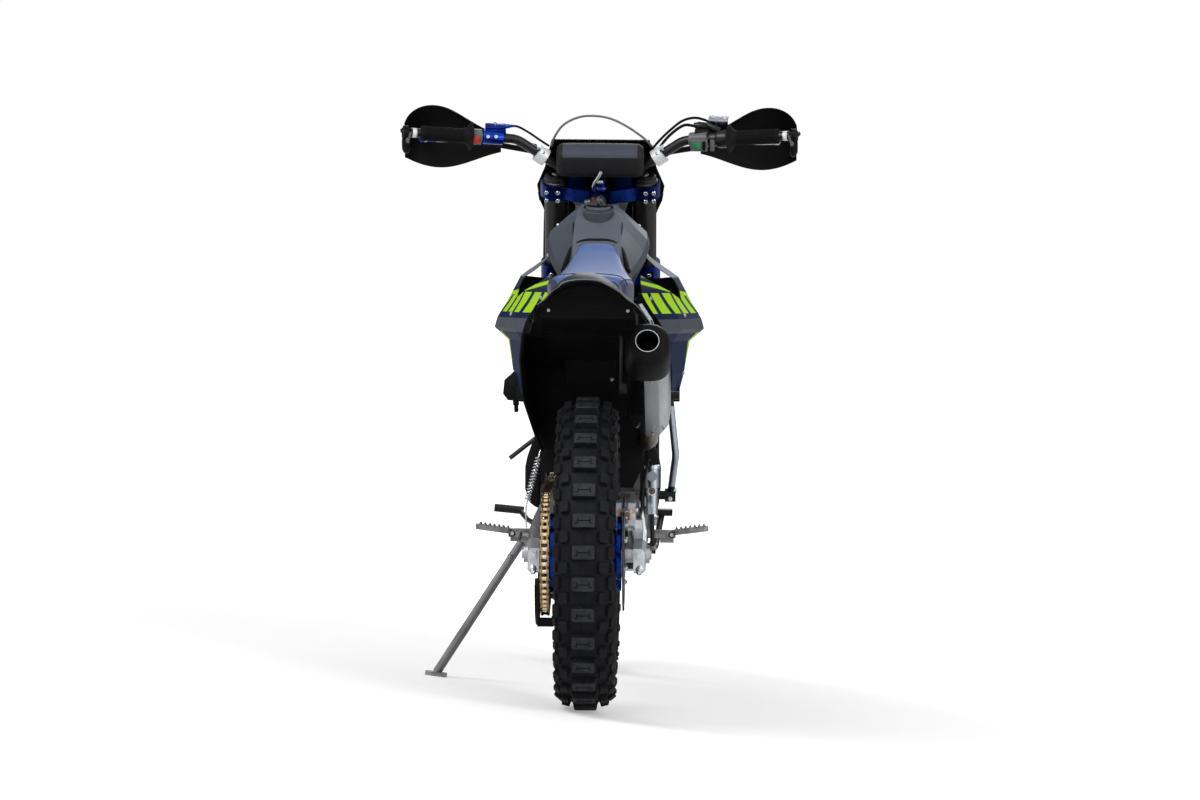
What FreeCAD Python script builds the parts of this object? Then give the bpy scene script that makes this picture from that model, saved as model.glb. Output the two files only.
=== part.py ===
"""Single-cylinder off-road motorcycle (dirt bike) leaning on its side stand.

Everything is modelled upright in the machine's own frame, in millimetres: x to the rider's right, y forwards,
z up, with the rear axle over y = 0 and the floor at z = 0 in the middle plane. The steered pieces are modelled
in a second frame, (x, u, s), with u square to the steering axis and s up along it. At the end each piece is
leaned over onto the side stand and moved so that the origin is on the floor under the middle of the machine.
"""

import FreeCAD
import Part
import math
import os

V = FreeCAD.Vector

# Stance
WHEELBASE = 1480.0
LEAN_DEG = 7.4
RAKE_DEG = 27.0
TRAIL = 110.0
STEER_LOCK_DEG = 40.0
RUNNING_GAP = 0.3

# Wheels
REAR_BEAD_R = 222.0
REAR_SECTION_H = 112.0
REAR_TYRE_HALF_W = 66.0
REAR_RIM_HALF_W = 31.5
REAR_CROWN_DROP = 30.0
REAR_LUG_ROWS = 31
FRONT_BEAD_R = 262.0
FRONT_SECTION_H = 84.0
FRONT_TYRE_HALF_W = 44.5
FRONT_RIM_HALF_W = 22.0
FRONT_CROWN_DROP = 22.0
FRONT_LUG_ROWS = 30
LUG_H = 15.0
LUG_SHARE = 0.46
CROWN = 0.36
RIM_WALL = 3.5
RIM_FLANGE = 14.0
RIM_DEPTH = 16.0
SPOKES_PER_SIDE = 18
SPOKE_D = 4.0
AXLE_R = 12.0
AXLE_BORE_R = 8.5
REAR_HUB_R = 26.0
FRONT_HUB_R = 22.0
DISC_T = 4.0
REAR_DISC_R = 122.0
REAR_DISC_X = 79.0
FRONT_DISC_R = 130.0
FRONT_DISC_X = -58.0
PAD_GAP = 5.0

# Chain drive
CHAIN_X = -87.0
CHAIN_PITCH = 15.875
CHAIN_W = 19.0
CHAIN_WAIST = 3.2
CHAIN_PLATE_H = 14.6
REAR_TEETH = 50
FRONT_TEETH = 13
SPROCKET_T = 5.0
TOOTH_GAP = 1.0
TOOTH_H = 6.0

# Swingarm and shock
PIVOT_Y = 560.0
PIVOT_Z = 425.0
ARM_IN_X = 100.0
ARM_W = 26.0
SHOCK_SPRING_R = 34.0

# Frame and engine
FRAME_TUBE_R = 15.0
RAIL_R = 13.0
RAIL_X = 92.0
RAIL_Z = 288.0
SUBFRAME_R = 10.0
PLATE_IN_X = 104.0
PLATE_T = 12.0
HEAD_TUBE_R = 27.0
DOWN_TUBE_R = 20.0
SKID_T = 5.0
CASE_LEFT_X = -71.0
CASE_RIGHT_X = 90.0
CASE_BOTTOM_Z = 304.0
ENGINE_Y = 830.0

# Front end, in the steering frame
FORK_X = 100.0
FORK_U = 22.0
FORK_OUTER_R = 28.0
FORK_INNER_R = 24.0
FORK_TOP_S = 922.0
FORK_SEAL_S = 345.0
TOP_CLAMP_S = 893.0
TOP_CLAMP_T = 32.0
LOW_CLAMP_S = 682.0
LOW_CLAMP_T = 45.0
CLAMP_WALL = 9.0
STEM_R = 16.0
BAR_R = 11.1
BAR_MID_R = 14.3
BAR_U = 12.0
BAR_S = 943.0
BAR_RISE_X = 84.0
BAR_KNEE = V(190, 18, 1017)
BAR_END = V(430, -34, 1056)
GRIP_R = 16.5
GRIP_START_X = 293.0
GRIP_L = 118.0

# Side stand
STAND_PIVOT = V(-146.0, 425.0, 352.0)
STAND_FOOT = V(-338.0, 445.0, 52.0)
STAND_AXIS = V(1.0, 0.2307, -0.2333).normalize()
STAND_TUBE_R = 9.5
STAND_PIN_R = 7.0
STAND_BOSS_R = 15.0
STAND_BOSS_W = 18.0
STAND_FOLD_DEG = 104.0

# Body work
FENDER_T = 3.5
PANEL_T = 3.0
WALL_T = 4.0
SEAT_REAR_Y = -115.0
SEAT_NOSE_Y = 720.0

# Exhaust
PIPE_R = 19.0
MUFFLER_X = 127.0
MUFFLER_R = 47.0
OUTLET_R = 23.0
OUTLET_WALL = 2.0

RAKE = math.radians(RAKE_DEG)
LEAN = math.radians(LEAN_DEG)
REAR_TYRE_R = REAR_BEAD_R + REAR_SECTION_H
FRONT_TYRE_R = FRONT_BEAD_R + FRONT_SECTION_H


def rest_height(radius, half_w, rows):
    """Height of an axle over the floor, in the middle plane, with the leaning wheel on a lug's edge."""
    return radius * math.cos(LUG_SHARE * math.pi / rows) + CROWN * half_w * math.tan(LEAN)


REAR_AXLE = V(0, 0, rest_height(REAR_TYRE_R, REAR_TYRE_HALF_W, REAR_LUG_ROWS))
FRONT_AXLE = V(0, WHEELBASE, rest_height(FRONT_TYRE_R, FRONT_TYRE_HALF_W, FRONT_LUG_ROWS))
AXLE_U = FRONT_AXLE.z * math.sin(RAKE) - TRAIL * math.cos(RAKE)
AXIS_FOOT = FRONT_AXLE - V(0, math.cos(RAKE), math.sin(RAKE)) * AXLE_U
PIVOT = V(0, PIVOT_Y, PIVOT_Z)


# Plain helpers

def box(x0, x1, y0, y1, z0, z1):
    return Part.makeBox(x1 - x0, y1 - y0, z1 - z0, V(x0, y0, z0))


def rod(start, end, radius, end_radius=None):
    along = end - start
    if end_radius is None:
        return Part.makeCylinder(radius, along.Length, start, along)
    return Part.makeCone(radius, end_radius, along.Length, start, along)


def ring_x(centre, x0, x1, outer, inner=0.0):
    """A disc or ring about a line along x through centre, from x0 to x1."""
    base = V(x0, centre.y, centre.z)
    body = Part.makeCylinder(outer, x1 - x0, base, V(1, 0, 0))
    if inner:
        body = body.cut(Part.makeCylinder(inner, x1 - x0, base, V(1, 0, 0)))
    return body


def corner_arc(before, corner, after, radius):
    """The tangent arc that rounds a corner, as its first, middle and last point and its true radius."""
    towards = corner - before
    away = after - corner
    turn = towards.getAngle(away)
    if turn < 0.01:
        return corner, corner, corner, 0.0
    reach = min(radius * math.tan(turn / 2), 0.45 * min(towards.Length, away.Length))
    towards.normalize()
    away.normalize()
    true_r = reach / math.tan(turn / 2)
    inwards = (away - towards).normalize()
    middle = corner + inwards * (true_r / math.cos(turn / 2) - true_r)
    return corner - towards * reach, middle, corner + away * reach, true_r


def face_of(points, radius=0.0):
    """A flat face with straight edges between the points, its corners rounded by radius."""
    if not radius:
        return Part.Face(Part.makePolygon(list(points) + [points[0]]))
    count = len(points)
    arcs = [corner_arc(points[i - 1], points[i], points[(i + 1) % count], radius) for i in range(count)]
    edges = []
    for i, (first, middle, last, true_r) in enumerate(arcs):
        if true_r:
            edges.append(Part.Arc(first, middle, last).toShape())
        edges.append(Part.LineSegment(last, arcs[(i + 1) % count][0]).toShape())
    return Part.Face(Part.Wire(edges))


def plate_x(outline, x0, x1, radius=0.0):
    """A flat outline of (y, z) points, extruded from x0 to x1."""
    return face_of([V(x0, y, z) for y, z in outline], radius).extrude(V(x1 - x0, 0, 0))


def plate_y(outline, y0, y1, radius=0.0):
    """A flat outline of (x, z) points, extruded from y0 to y1."""
    return face_of([V(x, y0, z) for x, z in outline], radius).extrude(V(0, y1 - y0, 0))


def plate_z(outline, z0, z1, radius=0.0):
    """A flat outline of (x, y) points, extruded from z0 to z1."""
    return face_of([V(x, y, z0) for x, y in outline], radius).extrude(V(0, 0, z1 - z0))


def bevelled(shape, size, x):
    """The shape with the edges that lie in the plane at x cut back by size."""
    edges = [e for e in shape.Edges if max(abs(e.BoundBox.XMin - x), abs(e.BoundBox.XMax - x)) < 0.01]
    return shape.makeChamfer(size, edges)


def mirrored(shape):
    return shape.mirror(V(0, 0, 0), V(1, 0, 0))


def mirror_point(p):
    return V(-p.x, p.y, p.z)


def pair(shape):
    return Part.makeCompound([shape, mirrored(shape)])


def both(shapes):
    return list(shapes) + [mirrored(s) for s in shapes]


def fused(shapes):
    return shapes[0].multiFuse(list(shapes[1:])).removeSplitter()


def cut_by(shape, others):
    for other in others:
        shape = shape.cut(other)
    return shape


def moved(shape, place):
    copy = shape.copy()
    copy.translate(place)
    return copy


def polygon_face(centre, along, radius, sides):
    """A regular polygon about centre, square to along."""
    across = along.cross(V(0, 0, 1) if abs(along.z) < 0.9 * along.Length else V(0, 1, 0)).normalize()
    other = along.cross(across).normalize()
    step = 2 * math.pi / sides
    return face_of([centre + (across * math.cos(k * step) + other * math.sin(k * step)) * radius
                    for k in range(sides)])


def tube(points, radius, bend=60.0, sides=0):
    """A tube along straight runs that are joined by tangent arcs of radius bend; round if sides is 0."""
    here = points[0]
    along = points[1] - here
    if sides:
        section = polygon_face(here, along, radius, sides)
    else:
        section = Part.Face(Part.Wire(Part.Circle(here, along, radius).toShape()))
    pieces = []
    for before, corner, after in zip(points, points[1:], points[2:]):
        first, middle, last, true_r = corner_arc(before, corner, after, bend)
        pieces.append(section.extrude(first - here))
        section = moved(section, first - here)
        axis = (corner - before).cross(after - corner)
        centre = middle + (middle - corner).normalize() * true_r
        turn = math.degrees((corner - before).getAngle(after - corner))
        pieces.append(section.revolve(centre, axis, turn))
        section = section.rotated(centre, axis, turn)
        here = last
    pieces.append(section.extrude(points[-1] - here))
    return fused(pieces)


def loft(loops, ruled=False):
    """A solid through closed loops of points, each joined by straight edges."""
    return Part.makeLoft([Part.makePolygon(list(p) + [p[0]]) for p in loops], True, ruled)


def arch_loop(y, half_w, top, edge, thick):
    """A thin arch in the plane at y: its crown is at z = top and its two edges at z = edge."""
    outer = Part.Arc(V(-half_w, y, edge), V(0, y, top), V(half_w, y, edge)).toShape()
    inner = Part.Arc(
        V(half_w - thick, y, edge), V(0, y, top - thick), V(thick - half_w, y, edge)
    ).toShape()
    right = Part.LineSegment(V(half_w, y, edge), V(half_w - thick, y, edge)).toShape()
    left = Part.LineSegment(V(thick - half_w, y, edge), V(-half_w, y, edge)).toShape()
    return Part.Wire([outer, right, inner, left])


def solid_of(faces):
    shell = Part.Shell(faces)
    shell.sewShape()
    solid = Part.Solid(shell)
    if solid.Volume < 0:
        solid.reverse()
    return solid


# The steering frame

def steering_placement():
    return FreeCAD.Placement(AXIS_FOOT, FreeCAD.Rotation(V(1, 0, 0), RAKE_DEG))


def steered(shape):
    """Moves a shape from the steering frame (x, u, s) to the machine frame."""
    copy = shape.copy()
    copy.Placement = steering_placement().multiply(copy.Placement)
    return copy


def steer_point(x, u, s):
    return steering_placement().multVec(V(x, u, s))


HEAD_LOW_S = LOW_CLAMP_S + LOW_CLAMP_T / 2 + RUNNING_GAP
HEAD_HIGH_S = TOP_CLAMP_S - TOP_CLAMP_T / 2 - RUNNING_GAP
HEAD = steer_point(0, 0, 0.5 * (HEAD_LOW_S + HEAD_HIGH_S))
DOWN_TOP = steer_point(0, 0, HEAD_LOW_S + 90)
DOWN_FOOT = V(0, DOWN_TOP.y - 81, 585)


def down_tube_y(z):
    """Where the down tube's middle line is at the height z."""
    share = (DOWN_TOP.z - z) / (DOWN_TOP.z - DOWN_FOOT.z)
    return DOWN_TOP.y + share * (DOWN_FOOT.y - DOWN_TOP.y)


# Wheels

def lugged_tyre(bead_r, section_h, half_w, rim_half_w, rows, drop):
    """A solid tyre of flat facets: the carcass, with rows of block lugs that stand out to its radius.

    The surface is a grid of rings (across the tyre) by columns (round it). Each cell is either on the
    carcass or raised to the lug tips, and walls join cells of different height.
    """
    radius = bead_r + section_h
    inside = rim_half_w - RIM_WALL
    side = half_w - 5.0
    chord = 1.0 / math.cos((1 - LUG_SHARE) * math.pi / rows)
    carcass = [
        (inside, bead_r * chord),
        (inside, (bead_r + RIM_FLANGE) * chord),
        (side, bead_r + 0.5 * section_h),
        (side, radius - 0.62 * drop - LUG_H),
        (0.52 * half_w, radius - 0.18 * drop - LUG_H),
        (CROWN * half_w, radius - LUG_H),
    ]
    profile = [(-x, r) for x, r in carcass] + [(x, r) for x, r in reversed(carcass)]
    strips = len(profile) - 1
    middle = strips // 2
    raised_strips = ({middle}, {middle - 2, middle + 2})
    tips = [
        (x + math.copysign(5.0, x), r + 0.6 * LUG_H) if abs(x) == side else (x, r + LUG_H)
        for x, r in profile
    ]
    columns = 2 * rows
    step = 2 * math.pi / rows
    angles = []
    for k in range(rows):
        angles += [(k - LUG_SHARE / 2) * step, (k + LUG_SHARE / 2) * step]

    def point(x, r, a):
        return V(x, r * math.sin(a), -r * math.cos(a))

    def raised(j, c):
        return j in raised_strips[c % 2]

    faces = []
    for c in range(columns):
        a0 = angles[c]
        a1 = angles[(c + 1) % columns] + (2 * math.pi if c == columns - 1 else 0.0)
        for j in range(strips):
            low = (profile[j], profile[j + 1])
            high = (tips[j], tips[j + 1])
            p, q = high if raised(j, c) else low
            faces.append(face_of([point(*p, a0), point(*q, a0), point(*q, a1), point(*p, a1)]))
            if raised(j, c):
                for a in (a0, a1):
                    faces.append(face_of(
                        [point(*low[0], a), point(*low[1], a), point(*high[1], a), point(*high[0], a)]))
            for end, other in ((0, j - 1), (1, j + 1)):
                if raised(j, c) and not raised(other, c):
                    faces.append(face_of([
                        point(*low[end], a0), point(*low[end], a1),
                        point(*high[end], a1), point(*high[end], a0)]))
        first, last = profile[0], profile[-1]
        faces.append(face_of([point(*first, a0), point(*last, a0), point(*last, a1), point(*first, a1)]))
    return solid_of(faces)


def wheel_rim(bead_r, half_w):
    """A channel rim about the x axis, whose bead seat has the radius bead_r."""
    inside = half_w - RIM_WALL
    half = [(half_w, bead_r + RIM_FLANGE), (inside, bead_r + RIM_FLANGE), (inside, bead_r)]
    under = [(half_w, bead_r - RIM_WALL), (0.55 * half_w, bead_r - RIM_DEPTH)]
    outline = [(-x, r) for x, r in half] + [(x, r) for x, r in reversed(half)]
    outline += [(x, r) for x, r in under] + [(-x, r) for x, r in reversed(under)]
    return face_of([V(x, 0, r) for x, r in outline]).revolve(V(0, 0, 0), V(1, 0, 0), 360)


def spoke_between(start, end):
    """A square spoke from start to end."""
    along = end - start
    spoke = Part.makeBox(SPOKE_D, SPOKE_D, along.Length, V(-SPOKE_D / 2, -SPOKE_D / 2, 0))
    spoke.Placement = FreeCAD.Placement(start, FreeCAD.Rotation(V(0, 0, 1), along))
    return spoke


def spokes(flange_x, flange_r, rim_x, rim_r):
    """Two sides of spokes, laced in pairs that lean opposite ways round the hub."""
    made = []
    step = 2 * math.pi / SPOKES_PER_SIDE
    for side in (-1, 1):
        for k in range(SPOKES_PER_SIDE):
            lean = 1 if k % 2 else -1
            hub_a = (k + 0.25 * side) * step
            rim_a = hub_a + lean * 1.9 * step
            nudge = side * lean * 0.75 * SPOKE_D
            start = V(side * flange_x + nudge, flange_r * math.sin(hub_a), flange_r * math.cos(hub_a))
            end = V(side * rim_x, rim_r * math.sin(rim_a), rim_r * math.cos(rim_a))
            made.append(spoke_between(start, end))
    return made


def drilled_disc(x0, x1, outer, inner, lobes):
    """A brake disc with a waved edge and a ring of drilled holes."""
    disc = ring_x(V(0, 0, 0), x0, x1, outer, inner)
    for k in range(lobes):
        a = 2 * math.pi * k / lobes
        b = a + math.pi / lobes
        notch = V(0, (outer + 9) * math.sin(a), (outer + 9) * math.cos(a))
        hole = V(0, (outer - 20) * math.sin(b), (outer - 20) * math.cos(b))
        disc = cut_by(disc, [ring_x(notch, x0, x1, 15), ring_x(hole, x0, x1, 6)])
    return disc


def rear_wheel():
    centre = V(0, 0, 0)
    rim = wheel_rim(REAR_BEAD_R, REAR_RIM_HALF_W)
    bore = ring_x(centre, -200, 200, AXLE_R + RUNNING_GAP)
    disc_in = REAR_DISC_X - DISC_T / 2
    carrier_out = CHAIN_X + SPROCKET_T / 2
    hub = fused([
        ring_x(centre, carrier_out + 8.5, disc_in - 4, REAR_HUB_R),
        ring_x(centre, carrier_out + 8.5, carrier_out + 15, 62),
        ring_x(centre, disc_in - 6, disc_in, 62),
        ring_x(centre, -44, -38, 46),
        ring_x(centre, 38, 44, 46),
    ] + spokes(41, 42, 9, REAR_BEAD_R - RIM_DEPTH + 4))
    pieces = {
        "rear_tyre": lugged_tyre(REAR_BEAD_R, REAR_SECTION_H, REAR_TYRE_HALF_W, REAR_RIM_HALF_W,
                                 REAR_LUG_ROWS, REAR_CROWN_DROP),
        "rear_rim": rim,
        "rear_hub": hub.cut(bore).cut(rim),
        "rear_sprocket": rear_sprocket(),
        "rear_disc": drilled_disc(disc_in, disc_in + DISC_T, REAR_DISC_R, 48, 9),
    }
    return {name: moved(shape, REAR_AXLE) for name, shape in pieces.items()}


def front_wheel():
    centre = V(0, 0, 0)
    rim = wheel_rim(FRONT_BEAD_R, FRONT_RIM_HALF_W)
    bore = ring_x(centre, -200, 200, AXLE_R + RUNNING_GAP)
    disc_in = FRONT_DISC_X + DISC_T / 2
    hub = fused([
        ring_x(centre, -70, 70, FRONT_HUB_R),
        ring_x(centre, disc_in, disc_in + 6, 50),
        ring_x(centre, -38, -33, 36),
        ring_x(centre, 33, 38, 36),
    ] + spokes(35.5, 32, 6, FRONT_BEAD_R - RIM_DEPTH + 4))
    pieces = {
        "front_tyre": lugged_tyre(FRONT_BEAD_R, FRONT_SECTION_H, FRONT_TYRE_HALF_W, FRONT_RIM_HALF_W,
                                  FRONT_LUG_ROWS, FRONT_CROWN_DROP),
        "front_rim": rim,
        "front_hub": hub.cut(bore).cut(rim),
        "front_disc": drilled_disc(disc_in - DISC_T, disc_in, FRONT_DISC_R, 44, 10),
    }
    return {name: moved(shape, FRONT_AXLE) for name, shape in pieces.items()}


# Chain and sprockets

def pitch_radius(teeth):
    return CHAIN_PITCH / (2 * math.sin(math.pi / teeth))


BIG_R = pitch_radius(REAR_TEETH)
SMALL_R = pitch_radius(FRONT_TEETH)
DRIVE = V(0, PIVOT_Y + 90, PIVOT_Z + 20)
DRIVE_SPAN = DRIVE - REAR_AXLE
DRIVE_SLOPE = math.atan2(DRIVE_SPAN.z, DRIVE_SPAN.y)
DRIVE_WEDGE = math.asin((BIG_R - SMALL_R) / DRIVE_SPAN.Length)


def toothed_disc(teeth, tip_r, x0, x1):
    """A sprocket about the x axis with teeth that stay inside the chain's loop."""
    points = []
    step = 2 * math.pi / teeth
    for k in range(teeth):
        for share, r in ((-0.5, tip_r - TOOTH_H), (-0.22, tip_r), (0.22, tip_r)):
            a = (k + share) * step
            points.append((r * math.sin(a), r * math.cos(a)))
    return plate_x(points, x0, x1)


def rear_sprocket():
    x0 = CHAIN_X - SPROCKET_T / 2
    x1 = CHAIN_X + SPROCKET_T / 2
    disc = toothed_disc(REAR_TEETH, BIG_R - CHAIN_PLATE_H / 2 - TOOTH_GAP, x0, x1)
    disc = disc.cut(ring_x(V(0, 0, 0), x0, x1, AXLE_R + RUNNING_GAP))
    for k in range(6):
        a = (k + 0.5) * math.pi / 3
        disc = disc.cut(ring_x(V(0, 84 * math.sin(a), 84 * math.cos(a)), x0, x1, 19))
    return disc.fuse(ring_x(V(0, 0, 0), x1, x1 + 8.5, 58, AXLE_R + RUNNING_GAP))


def chain_points():
    """Points of the pitch line and their outward directions, one for each link, round the whole loop."""
    run = DRIVE_SPAN.Length * math.cos(DRIVE_WEDGE)
    big_arc = BIG_R * (math.pi + 2 * DRIVE_WEDGE)
    small_arc = SMALL_R * (math.pi - 2 * DRIVE_WEDGE)
    total = 2 * run + big_arc + small_arc
    links = 2 * int(round(total / CHAIN_PITCH / 2))
    upper = DRIVE_SLOPE + math.pi / 2 - DRIVE_WEDGE
    lower = DRIVE_SLOPE - math.pi / 2 + DRIVE_WEDGE

    def on(centre, r, a):
        out = V(0, math.cos(a), math.sin(a))
        return centre + out * r, out

    points = []
    for k in range(links):
        d = (k + 0.5) * total / links
        if d < run:
            start, out = on(REAR_AXLE, BIG_R, upper)
            points.append((start + V(0, out.z, -out.y) * d, out))
        elif d < run + small_arc:
            points.append(on(DRIVE, SMALL_R, upper - (d - run) / SMALL_R))
        elif d < 2 * run + small_arc:
            start, out = on(DRIVE, SMALL_R, lower)
            points.append((start + V(0, out.z, -out.y) * (d - run - small_arc), out))
        else:
            points.append(on(REAR_AXLE, BIG_R, lower - (d - 2 * run - small_arc) / BIG_R))
    return points


def chain():
    """The drive chain: one closed band whose links are wide and narrow by turns."""
    points = chain_points()
    half = CHAIN_PLATE_H / 2
    wide = CHAIN_W / 2
    narrow = wide - CHAIN_WAIST
    corners = ((half, -1), (half, 1), (-half, 1), (-half, -1))
    faces = []
    count = len(points)
    for k in range(count):
        (p, n), (q, m) = points[k], points[(k + 1) % count]
        w = wide if k % 2 == 0 else narrow
        ends = [p + n * s + V(CHAIN_X + t * w, 0, 0) for s, t in corners]
        others = [q + m * s + V(CHAIN_X + t * w, 0, 0) for s, t in corners]
        for i in range(4):
            j = (i + 1) % 4
            faces.append(face_of([ends[i], ends[j], others[j], others[i]]))
        for t in (-1, 1):
            step = [V(CHAIN_X + t * wide, 0, 0), V(CHAIN_X + t * narrow, 0, 0)]
            faces.append(face_of([
                p + n * half + step[0], p + n * half + step[1], p - n * half + step[1], p - n * half + step[0]]))
    return solid_of(faces)


def front_sprocket(loop):
    disc = toothed_disc(FRONT_TEETH, SMALL_R + 1.0, CHAIN_X - 3.5, CHAIN_X + 3.5)
    shaft = ring_x(V(0, 0, 0), CHAIN_X - 9, CASE_LEFT_X, 14)
    return moved(fused([disc, shaft]), DRIVE).cut(loop)


def lower_run_z(y):
    """Height of the chain's lower run at y."""
    slope = DRIVE_SLOPE + DRIVE_WEDGE
    start = REAR_AXLE + V(0, math.sin(slope), -math.cos(slope)) * BIG_R
    return start.z + (y - start.y) * math.tan(slope)


def chain_guide(arm):
    """The block under the swingarm that leads the lower run onto the sprocket."""
    y0 = BIG_R + CHAIN_PLATE_H / 2 + 2.0
    y1 = y0 + 82.0
    half = CHAIN_W / 2 + 7.0

    def band(start, end, low, high):
        return [(start, lower_run_z(start) + low), (end, lower_run_z(end) + low),
                (end, lower_run_z(end) + high), (start, lower_run_z(start) + high)]

    top = arm_middle_z(y0) - 25.0
    outline = [(y0 + 8, lower_run_z(y0) - 16), (y1, lower_run_z(y1) - 18), (y1, top), (y0, top),
               (y0, lower_run_z(y0) - 8)]
    block = plate_x(outline, CHAIN_X - half, CHAIN_X + half, 5)
    slot = plate_x(band(y0 - 9, y1 + 9, -CHAIN_PLATE_H / 2 - 1.2, 11), CHAIN_X - CHAIN_W / 2 - 1,
                   CHAIN_X + CHAIN_W / 2 + 1)
    ceiling = arm_middle_z(y0) - 46.0
    inner_half = box(CHAIN_X - 8, CHAIN_X + 40, 0, 400, ceiling, 500)
    return cut_by(block, [slot, inner_half, arm])


# Swingarm, frame and engine

def arm_middle_z(y):
    return REAR_AXLE.z + (PIVOT_Z - REAR_AXLE.z) * y / PIVOT_Y


def swingarm(axle):
    """Two tapered arms, a bridge ahead of the tyre, the pivot tube and the axle's adjusters."""
    out = ARM_IN_X + ARM_W
    sections = [
        (-52, ARM_IN_X, out - 2, -3, 24), (-24, ARM_IN_X, out, 0, 37), (70, ARM_IN_X, out, 3, 38),
        (200, ARM_IN_X - 7, out - 7, 6, 41), (330, ARM_IN_X - 16, out - 14, 3, 42),
        (440, 78, 106, 0, 34), (PIVOT_Y - 30, 72, 98, 0, 27), (PIVOT_Y, 72, 98, 0, 24),
    ]
    loops = []
    for y, a, b, up, h in sections:
        z = arm_middle_z(y) + up
        c = 0.25 * (b - a)
        loops.append([V(a, y, z - h), V(b - c, y, z - h), V(b, y, z - h + c), V(b, y, z + h - c),
                      V(b - c, y, z + h), V(a, y, z + h)])
    arm = loft(loops, ruled=True)
    front_wall = REAR_TYRE_R + 48.0
    bridge = plate_x([(front_wall, 378), (PIVOT_Y - 90, 398), (PIVOT_Y - 90, 450), (front_wall + 20, 428),
                      (front_wall - 6, 404)], -84, 84, 8)
    pivot = ring_x(PIVOT, -PLATE_IN_X, PLATE_IN_X, 24)
    adjuster = box(out - 20, out - 6, -68, -50, REAR_AXLE.z - 9, REAR_AXLE.z + 9)
    bolt = rod(V(out - 13, -78, REAR_AXLE.z), V(out - 13, -66, REAR_AXLE.z), 5)
    whole = fused(both([arm, adjuster, bolt]) + [bridge, pivot])
    return whole.cut(axle).cut(ring_x(REAR_AXLE, -200, 200, AXLE_R))


def rear_axle():
    left_in = CHAIN_X - SPROCKET_T / 2 - RUNNING_GAP
    right_in = REAR_DISC_X + DISC_T / 2 + RUNNING_GAP
    out = ARM_IN_X + ARM_W
    pieces = [
        ring_x(REAR_AXLE, -out - 12, out + 12, AXLE_R),
        ring_x(REAR_AXLE, -ARM_IN_X, left_in, 18),
        ring_x(REAR_AXLE, right_in, ARM_IN_X, 18),
        ring_x(REAR_AXLE, out, out + 8, 20),
        ring_x(REAR_AXLE, -out - 8, -out, 20),
    ]
    return fused(pieces).cut(ring_x(REAR_AXLE, -200, 200, AXLE_BORE_R))


def main_frame():
    """Head tube, twin spine, single down tube, cradle rails and the plates that hold the swingarm's pivot."""
    head = steered(Part.makeCylinder(HEAD_TUBE_R, HEAD_HIGH_S - HEAD_LOW_S, V(0, 0, HEAD_LOW_S)))
    y, z = PIVOT_Y, PIVOT_Z
    plate = plate_x([
        (y - 84, z - 82), (y - 84, z - 22), (y - 38, z + 50), (y - 14, z + 190), (y + 24, z + 292),
        (y + 66, z + 278), (y + 46, z + 130), (y + 38, z + 40), (y + 42, z - 45), (y + 84, z - 118),
        (y + 84, RAIL_Z - RAIL_R), (y, RAIL_Z - RAIL_R), (y - 40, z - 105),
    ], PLATE_IN_X, PLATE_IN_X + PLATE_T, 14)
    window = plate_x([(y - 8, z + 75), (y + 20, z + 75), (y + 30, z + 180), (y + 12, z + 180)],
                     PLATE_IN_X, PLATE_IN_X + PLATE_T, 8)
    spine = tube([HEAD + V(14, 4, -24), V(58, y + 0.4 * (HEAD.y - y), 870), V(PLATE_IN_X + 3, y + 42, z + 262)],
                 FRAME_TUBE_R, 160)
    rail = tube([DOWN_FOOT + V(8, 4, 15), V(60, DOWN_FOOT.y - 17, 400), V(RAIL_X, DOWN_FOOT.y - 60, RAIL_Z),
                 V(RAIL_X, y + 55, RAIL_Z)], RAIL_R, 70)
    link = rod(V(RAIL_X - 10, y + 60, RAIL_Z), V(PLATE_IN_X, y + 60, RAIL_Z), 10)
    down = rod(DOWN_TOP, DOWN_FOOT, DOWN_TUBE_R)
    tie = rod(V(-46, y + 0.45 * (HEAD.y - y), 876), V(46, y + 0.45 * (HEAD.y - y), 876), 12)
    gusset = plate_x([(HEAD.y - 12, HEAD.z + 12), (HEAD.y - 105, HEAD.z - 62), (HEAD.y - 50, HEAD.z - 190),
                      (HEAD.y - 4, HEAD.z - 44)], -5, 5, 14)
    lower_bolt = ring_x(V(0, y + 62, z - 74), -PLATE_IN_X, PLATE_IN_X, 8)
    whole = fused([head, down, tie, gusset, lower_bolt] + both([plate.cut(window), spine, rail, link]))
    return whole.cut(steered(Part.makeCylinder(STEM_R + RUNNING_GAP, 600, V(0, 0, 500))))


def subframe(frame):
    top = tube([V(52, PIVOT_Y + 160, 846), V(66, PIVOT_Y - 160, 828), V(72, -60, 858)], SUBFRAME_R, 200)
    strut = tube([V(PLATE_IN_X - 8, PIVOT_Y + 36, PIVOT_Z + 215), V(66, PIVOT_Y - 90, 690), V(70, 60, 838)],
                 SUBFRAME_R, 80)
    cross = rod(V(-72, -40, 857), V(72, -40, 857), 9)
    front = rod(V(-66, PIVOT_Y - 160, 828), V(66, PIVOT_Y - 160, 828), 9)
    return fused(both([top, strut]) + [cross, front]).cut(frame)


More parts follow.
